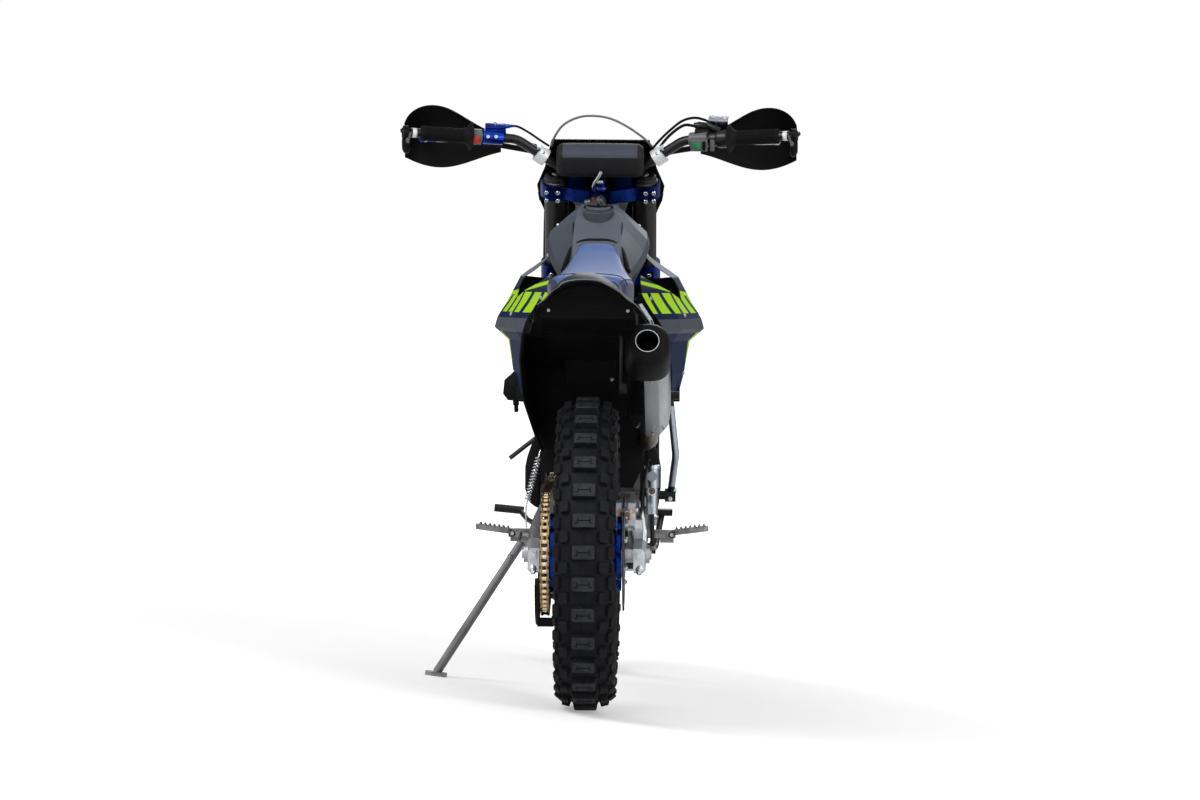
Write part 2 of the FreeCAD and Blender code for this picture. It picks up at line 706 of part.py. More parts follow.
def crankcase(frame, drive):
    """The engine's lower half: cases, clutch and rotor covers, pump, drain boss and the kickstarter's boss."""
    y, z = ENGINE_Y, CASE_BOTTOM_Z
    low = z + 100
    case = plate_x([
        (PIVOT_Y + 43, low - 4), (y - 190, z + 16), (y - 130, z), (y + 70, z), (y + 118, z + 36),
        (y + 118, z + 126), (y + 75, z + 201), (y - 130, z + 216), (PIVOT_Y + 65, z + 201),
    ], CASE_LEFT_X, CASE_RIGHT_X, 22)
    clutch = bevelled(ring_x(V(0, y - 100, low + 2), CASE_RIGHT_X, CASE_RIGHT_X + 30, 82), 6, CASE_RIGHT_X + 30)
    clutch_lid = ring_x(V(0, y - 100, low + 2), CASE_RIGHT_X + 30, CASE_RIGHT_X + 36, 58)
    side = bevelled(plate_x([
        (y - 60, z + 12), (y + 62, z + 14), (y + 104, z + 60), (y + 92, z + 150), (y - 10, z + 190),
        (y - 60, z + 170)], CASE_RIGHT_X, CASE_RIGHT_X + 18, 24), 5, CASE_RIGHT_X + 18)
    pump = ring_x(V(0, y + 62, z + 62), CASE_RIGHT_X + 18, CASE_RIGHT_X + 34, 30)
    rotor = bevelled(ring_x(V(0, y + 5, low + 6), CASE_LEFT_X - 38, CASE_LEFT_X, 68), 8, CASE_LEFT_X - 38)
    starter = ring_x(V(0, y - 70, z + 222), -60, 20, 30)
    mount = ring_x(V(0, DOWN_FOOT.y - 27, z + 46), -20, 20, 16)
    return cut_by(fused([case, clutch, clutch_lid, side, pump, rotor, starter, mount]), [frame, drive])


def cylinder():
    """Barrel, head, cam cover, plug boss and the intake with its throttle body."""
    y, z = ENGINE_Y, CASE_BOTTOM_Z
    barrel = plate_x([(y - 78, z + 212), (y + 75, z + 201), (y + 85, z + 306), (y - 55, z + 311)], -60, 60, 10)
    joint = plate_x([(y - 66, z + 300), (y + 90, z + 294), (y + 91, z + 308), (y - 65, z + 314)], -66, 66)
    head = plate_x([(y - 62, z + 311), (y + 85, z + 306), (y + 95, z + 380), (y - 58, z + 388)], -64, 64, 12)
    cover = plate_x([(y - 60, z + 384), (y + 94, z + 377), (y + 84, z + 428), (y + 40, z + 442),
                     (y - 30, z + 444), (y - 56, z + 420)], -58, 58, 16)
    intake = rod(V(0, y - 50, z + 356), V(0, y - 128, z + 380), 27)
    body = rod(V(0, y - 128, z + 380), V(0, y - 178, z + 396), 33)
    port = rod(V(10, y + 80, z + 350), V(20, y + 108, z + 353), 25)
    return fused([barrel, joint, head, cover, intake, body, port])


def rear_shock():
    """Damper and coil spring, with the reservoir beside its upper end."""
    low = V(0, PIVOT_Y - 118, PIVOT_Z - 6)
    high = V(0, PIVOT_Y - 40, PIVOT_Z + 345)
    along = (high - low).normalize()
    pieces = [
        rod(low, low + along * 70, 15),
        rod(low + along * 45, low + along * 55, SHOCK_SPRING_R),
        rod(low + along * 55, low + along * 245, SHOCK_SPRING_R - 11),
        rod(low + along * 245, low + along * 258, SHOCK_SPRING_R),
        rod(low + along * 258, high, 23),
        ring_x(high, -40, 40, 13),
        rod(high - along * 40, high - along * 40 + V(50, 40, 20), 12),
    ]
    for k in range(7):
        at = low + along * (66 + 27.5 * k)
        ring = polygon_face(at + V(SHOCK_SPRING_R - 6, 0, 0), V(1, 0, 0).cross(along), 6, 8)
        pieces.append(ring.revolve(at, along, 360))
    return fused(pieces)


# Exhaust

MUFFLER_FRONT = V(MUFFLER_X, 285, 600)
MUFFLER_BACK = V(MUFFLER_X, -150, 793)


def muffler_place():
    along = MUFFLER_BACK - MUFFLER_FRONT
    return FreeCAD.Placement(MUFFLER_FRONT, FreeCAD.Rotation(V(1, 0, 0), V(0, along.z, -along.y), along))


def muffler():
    """A six-sided can with a tapered end cap round the outlet pipe."""
    length = (MUFFLER_BACK - MUFFLER_FRONT).Length
    r = MUFFLER_R

    def loop(s, w, h, up=0.0):
        shape = [(w, 0.3 * h), (0.66 * w, h), (-0.66 * w, h), (-w, 0.3 * h),
                 (-0.9 * w, -0.5 * h), (-0.5 * w, -h), (0.5 * w, -h), (0.9 * w, -0.5 * h)]
        return [V(x, z + up, s) for x, z in shape]

    body = loft([loop(0, 23, 23), loop(68, r, r), loop(length - 96, r, 1.06 * r)], True)
    cap = loft([loop(length - 96, r + 1, 1.06 * r + 1), loop(length - 70, r, 1.05 * r),
                loop(length - 22, 0.93 * r, 0.95 * r), loop(length - 5, 0.8 * r, 0.82 * r)], True)
    outlet = Part.makeCylinder(OUTLET_R + OUTLET_WALL, 24, V(0, 0, length - 24))
    whole = fused([body, cap, outlet]).cut(Part.makeCylinder(OUTLET_R, 60, V(0, 0, length - 45)))
    whole.Placement = muffler_place()
    lug = box(64, MUFFLER_X - r + 12, 88, 114, 676, 698)
    hanger = plate_x([(88, 680), (114, 680), (110, 820), (94, 826)], 64, 70)
    return whole.fuse([lug, hanger])


def exhaust_pipe(others):
    along = (MUFFLER_BACK - MUFFLER_FRONT).normalize()
    y = ENGINE_Y
    path = [V(18, y + 106, 657), V(52, y + 132, 650), V(86, y + 95, 598), V(86, y - 130, 560),
            V(80, PIVOT_Y - 40, 545), V(MUFFLER_X, 350, 571), MUFFLER_FRONT + along * 8]
    heat_shield = rod(V(86, y + 20, 585), V(86, y - 90, 567), PIPE_R + 4)
    return cut_by(fused([tube(path, PIPE_R, 48), heat_shield]), others)


# Body work

def strip(points, thick):
    """A closed (x, z) outline for a wall whose outer line is given."""
    return list(points) + [(x - thick, z) for x, z in reversed(points)]


def rear_fender():
    sections = [
        (-400, 52, 922, 908), (-340, 70, 936, 896), (-250, 86, 930, 880), (-150, 102, 915, 868),
        (0, 119, 900, 846), (150, 131, 884, 826),
    ]
    return Part.makeLoft([arch_loop(y, w, t, e, FENDER_T) for y, w, t, e in sections], True, False)


def inner_fender(others):
    """The black wall over and ahead of the rear tyre, with the air box behind it."""
    line = [(-76, 888), (-70, 838), (60, 812), (300, 724), (354, 660), (376, 600), (380, 548)]
    wall = plate_x(line + [(y + WALL_T, z + WALL_T) for y, z in reversed(line)], -150, 150)
    liner = plate_y([(-54, 892), (54, 892), (86, 872), (99, 850), (102, 800), (-102, 800), (-99, 850),
                     (-86, 872)], -90, 110)
    outline = plate_y([(-112, 890), (112, 890), (133, 826), (142, 800), (146, 750), (144, 700), (141, 658),
                       (124, 600), (112, 548), (-112, 548), (-124, 600), (-141, 658), (-144, 700),
                       (-146, 750), (-142, 800), (-133, 826)], 100, 420)
    air_box = plate_x([(240, 748), (354, 662), (520, 700), (560, 800), (540, 822), (240, 826)], -56, 56, 10)
    return cut_by(fused([wall.common(outline), wall.common(liner), air_box]), others)


def side_panels(cutters):
    """Number-plate panels under the seat; the right one is cut back over the muffler."""
    line = [(108, 868), (131, 832), (141, 800), (148, 750), (146, 700), (143, 658), (126, 600), (119, 577),
            (107, 545)]
    wall = plate_y(strip(line, PANEL_T), -160, 430)
    left = wall.common(plate_x([(-150, 880), (300, 880), (412, 780), (404, 640), (350, 545), (250, 545),
                                (60, 700), (-80, 806)], 0, 400, 12))
    right = wall.common(plate_x([(-150, 880), (300, 880), (412, 780), (392, 700), (300, 716), (20, 812)],
                                0, 400, 12))
    return Part.makeCompound([cut_by(mirrored(left), cutters), cut_by(right, cutters)])


def seat(others):
    sections = [
        (SEAT_REAR_Y, 66, 916, 890), (SEAT_REAR_Y + 22, 80, 930, 880), (60, 90, 930, 870),
        (250, 91, 928, 864), (430, 83, 934, 868), (560, 68, 952, 888), (SEAT_NOSE_Y - 50, 55, 978, 922),
        (SEAT_NOSE_Y - 12, 48, 998, 945), (SEAT_NOSE_Y, 40, 992, 955),
    ]

    def loop(y, w, t, b):
        return [V(-w, y, b), V(w, y, b), V(w + 1, y, t - 20), V(0.9 * w, y, t - 7), V(0.66 * w, y, t),
                V(-0.66 * w, y, t), V(-0.9 * w, y, t - 7), V(-w - 1, y, t - 20)]

    return cut_by(loft([loop(*s) for s in sections], True), others)


def tank_sections():
    """Stations (y, half width of the top, half width, top, bottom) from under the seat to the head."""
    front = HEAD.y - 165
    return [
        (PIVOT_Y, 50, 58, 935, 880), (PIVOT_Y + 60, 52, 66, 952, 872), (PIVOT_Y + 120, 54, 80, 978, 868),
        (PIVOT_Y + 180, 54, 96, 1012, 872), (PIVOT_Y + 240, 52, 109, 1044, 882), (front - 60, 46, 116, 1074, 902),
        (front - 18, 40, 115, 1086, 926), (front, 34, 100, 1076, 948),
    ]


def fuel_tank(others):
    """The tank under its grey cover, with the filler cap."""
    def loop(y, top, w, t, b):
        m = b + 0.5 * (t - b)
        n = b + 0.62 * (t - b)
        return [V(-0.62 * w, y, b), V(0.62 * w, y, b), V(w, y, m), V(0.95 * w, y, n),
                V(top, y, t), V(-top, y, t), V(-0.95 * w, y, n), V(-w, y, m)]

    whole = loft([loop(*s) for s in tank_sections()], True)
    y = HEAD.y - 240
    cap = fused([rod(V(0, y + 8, 1040), V(0, y, 1073), 34), rod(V(0, y + 1, 1071), V(0, y - 1, 1080), 28)])
    return cut_by(whole.fuse(cap), others)


RADIATOR_Y = DOWN_FOOT.y - 22
RADIATOR_D = 34.0
RADIATOR_OUT_X = 186.0


def radiator(others):
    y0, y1 = RADIATOR_Y, RADIATOR_Y + RADIATOR_D
    core = box(90, RADIATOR_OUT_X - 2, y0 + 3, y1 - 3, 668, 858)
    tanks = [plate_x([(y0, a), (y1, a), (y1, b), (y0, b)], 88, RADIATOR_OUT_X, 6) for a, b in ((640, 672), (854, 886))]
    louvres = [plate_x([(y1 - 4, z), (y1 + 8, z - 8), (y1 + 8, z - 5), (y1 - 4, z + 3)],
                       94, RADIATOR_OUT_X - 6)
               for z in range(690, 850, 26)]
    mounts = [rod(V(90, y0 + 20, z), V(4, down_tube_y(z), z), 7) for z in (862, 656)]
    return cut_by(fused([core] + tanks + louvres + mounts), others)


def shroud(others):
    """One radiator shroud: the arm from the tank, the wide flank and the narrow panel below it."""
    line = [(104, 986), (122, 968), (184, 924), (212, 866), (234, 828), (240, 806), (210, 778), (205, 740),
            (201, 705), (191, 660), (168, 628)]
    inner = [(x - PANEL_T, z) for x, z in line]

    def loop(y, pull):
        points = list(line) + list(reversed(inner))
        return [V(x - pull * (x - 90) / 140.0, y, z) for x, z in points]

    front = HEAD.y - 20
    wall = loft([loop(PIVOT_Y, 150), loop(PIVOT_Y + 260, 48), loop(front, 0)], True)
    flank = [(PIVOT_Y + 60, 930), (front - 118, 872), (front - 90, 896), (front - 104, 916)]
    arm = [(PIVOT_Y + 262, 948), (PIVOT_Y + 244, 966), (PIVOT_Y + 258, 986), (front - 110, 976)]
    edge = [(front - 34, 938), (front, 850), (front - 2, 800), (front - 16, 770), (front - 60, 625),
            (front - 130, 620), (front - 216, 740), (PIVOT_Y + 190, 796), (PIVOT_Y + 66, 888)]
    return cut_by(wall.common(plate_x(flank + arm + edge, 0, 400, 9)), others)


def skid_plate():
    low = RAIL_Z - RAIL_R
    front = DOWN_FOOT.y - 60
    outline = [(PIVOT_Y + 60, low - SKID_T), (front + 8, low - SKID_T), (front + 58, 330), (front + 54, 334),
               (front + 4, low), (PIVOT_Y + 60, low)]
    return plate_x(outline, -RAIL_X, RAIL_X)


# Rider's controls by the feet

def footpeg():
    """A toothed peg that rises towards its tip, with its hanger on the frame's plate."""
    y = PIVOT_Y - 72
    hanger = plate_z([(PLATE_IN_X + PLATE_T, y - 12), (166, y - 18), (184, y - 14), (184, y + 14), (166, y + 18),
                      (PLATE_IN_X + PLATE_T, y + 12)], 350, 368, 4)
    deck = plate_y([(172, 354), (182, 350), (258, 366), (258, 378), (172, 372)], y - 26, y + 26)
    slots = [box(190 + 17 * k, 201 + 17 * k, y - 18, y + 18, 340, 390) for k in range(4)]
    teeth = [box(187 + 17 * k, 190 + 17 * k, y - 26 + 11 * n, y - 21 + 11 * n, 360, 380 + k)
             for k in range(5) for n in range(5)]
    return fused([cut_by(fused([hanger, deck]), slots)] + teeth)


def gear_lever():
    y = DRIVE.y - 10
    shaft = rod(V(CASE_LEFT_X, y, 372), V(-136, y, 372), 8)
    arm = tube([V(-130, y, 372), V(-150, y + 60, 380), V(-170, y + 130, 398)], 6, 20)
    tip = rod(V(-160, y + 126, 397), V(-226, y + 126, 403), 9)
    return fused([shaft, arm, tip])


def brake_pedal(frame):
    """The rear brake's pedal, its push rod and the master cylinder with its sight glass."""
    y = PIVOT_Y - 28
    x = 134
    pivot = rod(V(PLATE_IN_X + PLATE_T, y, 325), V(x + 6, y, 325), 12)
    arm = tube([V(x, y, 325), V(x + 4, y + 90, 325), V(x + 16, y + 228, 392)], 7, 40)
    tip = plate_x([(y + 212, 388), (y + 254, 396), (y + 254, 404), (y + 212, 402)], 138, 174, 2)
    back = rod(V(x, y, 325), V(x, y - 92, 340), 7)
    link = rod(V(x, y - 92, 338), V(x - 2, y - 96, 412), 5)
    cylinder_body = fused([rod(V(x - 2, y - 96, 404), V(x - 2, y - 92, 470), 13),
                           rod(V(x - 2, y - 92, 462), V(x - 2, y - 90, 508), 16),
                           rod(V(x - 2, y - 92, 488), V(x - 2, y - 112, 488), 11)])
    bracket = plate_x([(y - 96, 420), (y - 96, 444), (y + 4, 476), (y + 4, 452)], PLATE_IN_X + PLATE_T, x - 8, 4)
    return fused([pivot, arm, tip, back, cylinder_body, link, bracket]).cut(frame)


def kickstarter():
    y = PIVOT_Y + 60
    shaft = rod(V(CASE_RIGHT_X, y, 440), V(166, y, 440), 10)
    knuckle = rod(V(158, y, 440), V(182, y, 440), 15)
    arm = tube([V(171, y - 2, 444), V(182, y - 60, 530), V(168, y - 100, 664)], 8, 60)
    pedal = rod(V(150, y - 102, 664), V(188, y - 102, 664), 9)
    return fused([shaft, knuckle, arm, pedal])


def rear_caliper(others):
    low = REAR_AXLE.z + 50
    body = plate_x([(60, low), (122, low - 6), (134, low + 26), (118, low + 60), (70, low + 60), (56, low + 30)],
                   60, 102, 10)
    room = ring_x(REAR_AXLE, REAR_DISC_X - DISC_T / 2 - PAD_GAP, REAR_DISC_X + DISC_T / 2 + PAD_GAP, REAR_DISC_R + 6)
    bracket = plate_x([(68, low - 14), (126, low - 14), (126, low + 20), (68, low + 22)], 96, ARM_IN_X + 16, 6)
    return cut_by(body.cut(room).fuse(bracket), others)


# Side stand

def floor_placement(x, y):
    """A frame on the floor at x, y, square to the floor on which the machine leans."""
    return FreeCAD.Placement(V(x, y, -x * math.tan(LEAN)), FreeCAD.Rotation(V(0, 1, 0), LEAN_DEG))


def side_stand():
    half = STAND_BOSS_W / 2
    boss = Part.makeCylinder(STAND_BOSS_R, STAND_BOSS_W, STAND_PIVOT - STAND_AXIS * half, STAND_AXIS)
    along = (STAND_FOOT - STAND_PIVOT).normalize()
    leg = rod(STAND_PIVOT + along * 14, STAND_FOOT, STAND_TUBE_R)
    hook = rod(STAND_PIVOT + V(-26, 2, -44), STAND_PIVOT + V(-34, -20, -40), 4)
    pad = plate_z([(-26, -14), (-14, -22), (18, -18), (22, 0), (18, 18), (-14, 22), (-26, 14)], 0, 9, 5)
    pad.Placement = floor_placement(STAND_FOOT.x, STAND_FOOT.y)
    pin_room = Part.makeCylinder(STAND_PIN_R + RUNNING_GAP, 60, STAND_PIVOT - STAND_AXIS * 30, STAND_AXIS)
    return fused([boss, leg, hook, pad]).cut(pin_room)


def stand_bracket(frame):
    """The stand's pin and the arm that carries it from the frame's left plate."""
    inner = STAND_BOSS_W / 2 + RUNNING_GAP
    room = Part.makeCylinder(60, 2 * inner, STAND_PIVOT - STAND_AXIS * inner, STAND_AXIS)
    web = loft([[V(-136, 416, 340), V(-136, 440, 340), V(-136, 440, 366), V(-136, 416, 366)],
                [V(-108, PIVOT_Y - 76, 358), V(-108, PIVOT_Y - 56, 358), V(-108, PIVOT_Y - 56, 392),
                 V(-108, PIVOT_Y - 76, 392)]], True).cut(room)
    arm = fused([
        Part.makeCylinder(16, 10, STAND_PIVOT + STAND_AXIS * inner, STAND_AXIS),
        Part.makeCylinder(STAND_PIN_R, 2 * inner + 8, STAND_PIVOT - STAND_AXIS * (inner + 3), STAND_AXIS),
        Part.makeCylinder(STAND_PIN_R + 2, 3, STAND_PIVOT - STAND_AXIS * (inner + 3), STAND_AXIS),
        web,
    ])
    return arm.cut(frame)


# Front end

def clamp(s, thick, others):
    """A fork clamp: two eyes with pinch lugs behind them and the web between."""
    low = s - thick / 2
    eye_r = FORK_OUTER_R + CLAMP_WALL
    eyes = [Part.makeCylinder(eye_r, thick, V(x, FORK_U, low)) for x in (-FORK_X, FORK_X)]
    lugs = [box(x - 11, x + 11, FORK_U - eye_r - 9, FORK_U, low + 3, low + thick - 3)
            for x in (-FORK_X - 12, FORK_X + 12)]
    web = plate_z([(-FORK_X, 2), (-62, -20), (-24, -30), (24, -30), (62, -20), (FORK_X, 2), (FORK_X, 46),
                   (52, 38), (-52, 38), (-FORK_X, 46)], low, low + thick, 8)
    return fused(eyes + lugs + [web] + others)


def fork_tube(x):
    """The upper leg: a stepped tube with its cap and adjuster."""
    return fused([
        Part.makeCylinder(FORK_OUTER_R, FORK_TOP_S - FORK_SEAL_S, V(x, FORK_U, FORK_SEAL_S)),
        Part.makeCylinder(FORK_OUTER_R + 3, 24, V(x, FORK_U, FORK_SEAL_S - 8)),
        Part.makeCylinder(FORK_OUTER_R - 6, 6, V(x, FORK_U, FORK_TOP_S)),
        Part.makeCylinder(7, 12, V(x, FORK_U, FORK_TOP_S)),
    ])


def fork_clamps(tubes, bar):
    top = TOP_CLAMP_S + TOP_CLAMP_T / 2
    low = LOW_CLAMP_S - LOW_CLAMP_T / 2
    risers = [plate_x([(-12, top), (36, top), (33, BAR_S + 20), (-9, BAR_S + 20)], x - 18, x + 18, 4)
              for x in (-54, 54)]
    nut = Part.makeCylinder(15, 12, V(0, 0, top - 1))
    upper = clamp(TOP_CLAMP_S, TOP_CLAMP_T, risers + [nut])
    stem = Part.makeCylinder(STEM_R, top - low, V(0, 0, low))
    boss = box(-34, 34, -8, 48, low - 26, low)
    lower = clamp(LOW_CLAMP_S, LOW_CLAMP_T, [boss])
    return cut_by(fused([upper, lower, stem]), [tubes, bar])


def fork_sliders():
    """The lower legs with their axle lugs, joined by the hollow spindle and its spacers."""
    centre = V(0, AXLE_U, 0)
    inner = FORK_X - FORK_INNER_R
    legs = []
    for x in (-FORK_X, FORK_X):
        legs.append(Part.makeCylinder(FORK_INNER_R, FORK_SEAL_S - 8, V(x, FORK_U, 0)))
        legs.append(plate_x([(FORK_U - 24, -12), (AXLE_U - 20, -30), (AXLE_U + 22, -26), (AXLE_U + 26, 14),
                             (FORK_U + 26, 66), (FORK_U - 26, 66)], x - 24, x + 24, 10))
    spindle = ring_x(centre, -FORK_X - 36, FORK_X + 36, AXLE_R)
    spacers = [ring_x(centre, 70 + RUNNING_GAP, inner, 18), ring_x(centre, -inner, -70 - RUNNING_GAP, 18)]
    return fused(legs + [spindle] + spacers).cut(ring_x(centre, -200, 200, AXLE_BORE_R))


def handlebar():
    rise = V(BAR_RISE_X, BAR_U, BAR_S)
    path = [mirror_point(BAR_END), mirror_point(BAR_KNEE), mirror_point(rise), rise, BAR_KNEE, BAR_END]
    middle = ring_x(V(0, BAR_U, BAR_S), -76, 76, BAR_MID_R)
    return fused([tube(path, BAR_R, 60), middle])


def on_bar(x):
    """The point of the bar's outer run at x, and the run's direction."""
    run = BAR_END - BAR_KNEE
    return BAR_KNEE + run * ((x - BAR_KNEE.x) / run.x), run.normalize()


def grips(bar):
    start, run = on_bar(GRIP_START_X)
    ribs = [rod(start + run * (14 + 9 * k), start + run * (18 + 9 * k), GRIP_R + 0.9) for k in range(11)]
    grip = fused([rod(start, start + run * GRIP_L, GRIP_R), rod(start, start + run * 6, 30)] + ribs)
    return pair(grip.cut(bar))


def bar_pad(others):
    outline = [(-24, 936), (30, 936), (34, 996), (14, 1012), (-14, 1006), (-26, 992)]
    pad = bevelled(bevelled(plate_x(outline, -100, 100, 7), 5, -100), 5, 100)
    return cut_by(pad, others)


def hand_controls(bar):
    """On each side: switch, perch and the lever with its ball end."""
    start, run = on_bar(244)
    perch = fused([
        rod(start, start + run * 31, 18),
        plate_z([(240, 0), (268, 0), (276, 30), (266, 42), (250, 38)], start.z - 34, start.z - 12, 4),
        rod(start + run * 4 + V(0, 14, 8), start + run * 30 + V(0, 16, 6), 11),
    ])
    blade = tube([V(262, 30, start.z - 24), V(302, 38, start.z - 28), V(346, 40, start.z - 30),
                  V(404, 30, start.z - 22)], 5.5, 60)
    ball = Part.makeSphere(8, V(404, 30, start.z - 22))
    switch = rod(start + run * 30, start + run * 48, 19)
    one = fused([perch, blade, ball, switch]).cut(bar)
    return pair(one)


def hand_guard(bar):
    """The curved shield, its alloy strut and the clamps at the bar's bend and end."""
    strut = tube([V(438, -36, 1058), V(450, 18, 1036), V(430, 58, 1006), V(262, 60, 986), V(160, 38, 978),
                  V(132, 15, 976)], 6.5, 24)
    bosses = [rod(V(x, u, s), V(x, u + 22, s), 6) for x, u, s in ((300, 60, 990), (410, 59, 1003))]
    rise = BAR_KNEE - V(BAR_RISE_X, BAR_U, BAR_S)
    at = V(BAR_RISE_X, BAR_U, BAR_S) + rise * 0.45
    rise.normalize()
    foot = rod(at - rise * 10, at + rise * 10, 19)
    end = rod(V(436, -35, 1057), V(446, -37, 1059), 15)
    stations = [(228, 56, 965, 1003), (257, 63, 953, 1016), (291, 67, 938, 1034), (344, 70, 920, 1066),
                (394, 68, 922, 1076), (432, 54, 943, 1064), (447, 36, 960, 1046)]
    loops = []
    for x, u, low, high in stations:
        bulge = 0.16 * (high - low)
        middle = 0.5 * (low + high)
        outer = Part.Arc(V(x, u, low), V(x, u + bulge, middle), V(x, u, high)).toShape()
        inner = Part.Arc(V(x, u - 4, high - 1), V(x, u + bulge - 4, middle), V(x, u - 4, low + 1)).toShape()
        top = Part.LineSegment(V(x, u, high), V(x, u - 4, high - 1)).toShape()
        base = Part.LineSegment(V(x, u - 4, low + 1), V(x, u, low)).toShape()
        loops.append(Part.Wire([outer, top, inner, base]))
    shield = Part.makeLoft(loops, True, False)
    return fused([strut, foot, end, shield] + bosses).cut(bar)


def headlight_mask(others):
    """The number-plate mask: a shell that narrows forwards round the lamp's opening."""
    back = [(-112, 1000), (112, 1000), (128, 930), (146, 884), (140, 845), (118, 790), (90, 700),
            (-90, 700), (-118, 790), (-140, 845), (-146, 884), (-128, 930)]

    def loop(u, share, grow=0.0):
        return [V(x * share + math.copysign(grow, x), u, 850 + (s - 850) * share + math.copysign(grow, s - 850))
                for x, s in back]

    shell = loft([loop(52, 1.0), loop(76, 0.93), loop(104, 0.66)], True)
    room = loft([loop(51, 0.97), loop(73, 0.90), loop(100, 0.62)], True)
    lamp_room = loft([lamp_loop(60, 1.03), lamp_loop(120, 1.03)], True)
    straps = both([box(FORK_X - 12, 150, 40, 62, s, s + 20) for s in (755, 850)])
    walls = shell.cut(room).cut(lamp_room)
    return cut_by(fused([walls] + [s.common(loft([loop(40, 1.0), loop(76, 0.93)], True)) for s in straps]), others)


def lamp_loop(u, share):
    outline = [(-58, 868), (58, 868), (66, 840), (48, 776), (-48, 776), (-66, 840)]
    return [V(x * share, u, 822 + (s - 822) * share) for x, s in outline]


def headlamp():
    return loft([lamp_loop(66, 0.98), lamp_loop(100, 1.02), lamp_loop(110, 0.86)], True)


def fork_guard(others):
    wrap = plate_z([(FORK_X - 30, 10), (FORK_X - 33, 48), (FORK_X - 20, 60), (FORK_X + 20, 60), (FORK_X + 33, 48),
                    (FORK_X + 30, 10), (FORK_X + 33, 10), (FORK_X + 36, 49), (FORK_X + 21, 63),
                    (FORK_X - 21, 63), (FORK_X - 35, 49), (FORK_X - 33, 10)], 58, FORK_SEAL_S - 12)
    foot = box(FORK_X - 24, FORK_X + 24, FORK_U + 16, 61, 58, 66)
    return cut_by(fused([wrap, foot]), others)


def front_caliper(others):
    centre = V(0, AXLE_U, 0)
    y0, y1 = AXLE_U - FRONT_DISC_R - 2, AXLE_U - FRONT_DISC_R + 68
    body = plate_x([(y0, 40), (y0 + 18, 26), (y1, 30), (y1, 84), (y0 + 30, 112), (y0, 92)], -80, -42, 8)
    room = ring_x(centre, FRONT_DISC_X - DISC_T / 2 - PAD_GAP, FRONT_DISC_X + DISC_T / 2 + PAD_GAP, FRONT_DISC_R + 5)
    arm = plate_x([(y1 - 14, 34), (FORK_U - 16, 20), (FORK_U - 16, 56), (y1 - 14, 62)], -96, -68, 4)
    return cut_by(fused([body, arm]).cut(room), others)


def fender_sections():
    y = HEAD.y
    return [
        (y + 20, 52, 826, 790), (y + 72, 66, 874, 838), (y + 152, 75, 888, 848), (y + 330, 76, 886, 846),
        (y + 520, 66, 864, 830), (y + 650, 52, 838, 812), (y + 705, 36, 822, 806),
    ]


def front_fender(clamps):
    """The high front fender and the pad by which it hangs from the lower clamp."""
    sections = fender_sections()
    shell = Part.makeLoft([arch_loop(y, w, t, e, FENDER_T) for y, w, t, e in sections], True, False)
    low = LOW_CLAMP_S - LOW_CLAMP_T / 2 - 26
    pad = steered(box(-34, 34, -8, 48, low - 50, low))
    above = loft([[V(-200, y, t - 2), V(200, y, t - 2), V(200, y, 1200), V(-200, y, 1200)]
                  for y, w, t, e in sections], True)
    return fused([shell, pad.common(above)]).cut(clamps)


def cables(others):
    """Brake hose, clutch cable and throttle cables, from the hand controls to the steering head."""
    guide = V(FORK_X + 23, FORK_U + 23, TOP_CLAMP_S)
    hose = tube([V(252, 30, 1003), V(214, 42, 1032), V(166, 46, 1046), V(142, 46, 985), V(126, 46, 930), guide],
                3.2, 30, 8)
    throttle = tube([V(-252, 30, 1003), V(-204, 40, 1032), V(-150, 34, 1012), V(-108, 44, 990)], 2.8, 30, 8)
    arc = tube([V(-106, 46, 985), V(-92, 44, 1040), V(-40, 40, 1072), V(40, 40, 1060), V(96, 44, 1018),
                V(108, 46, 985)], 3.0, 60, 8)
    return cut_by(Part.makeCompound([hose, throttle, arc]), others)


# The leaning machine

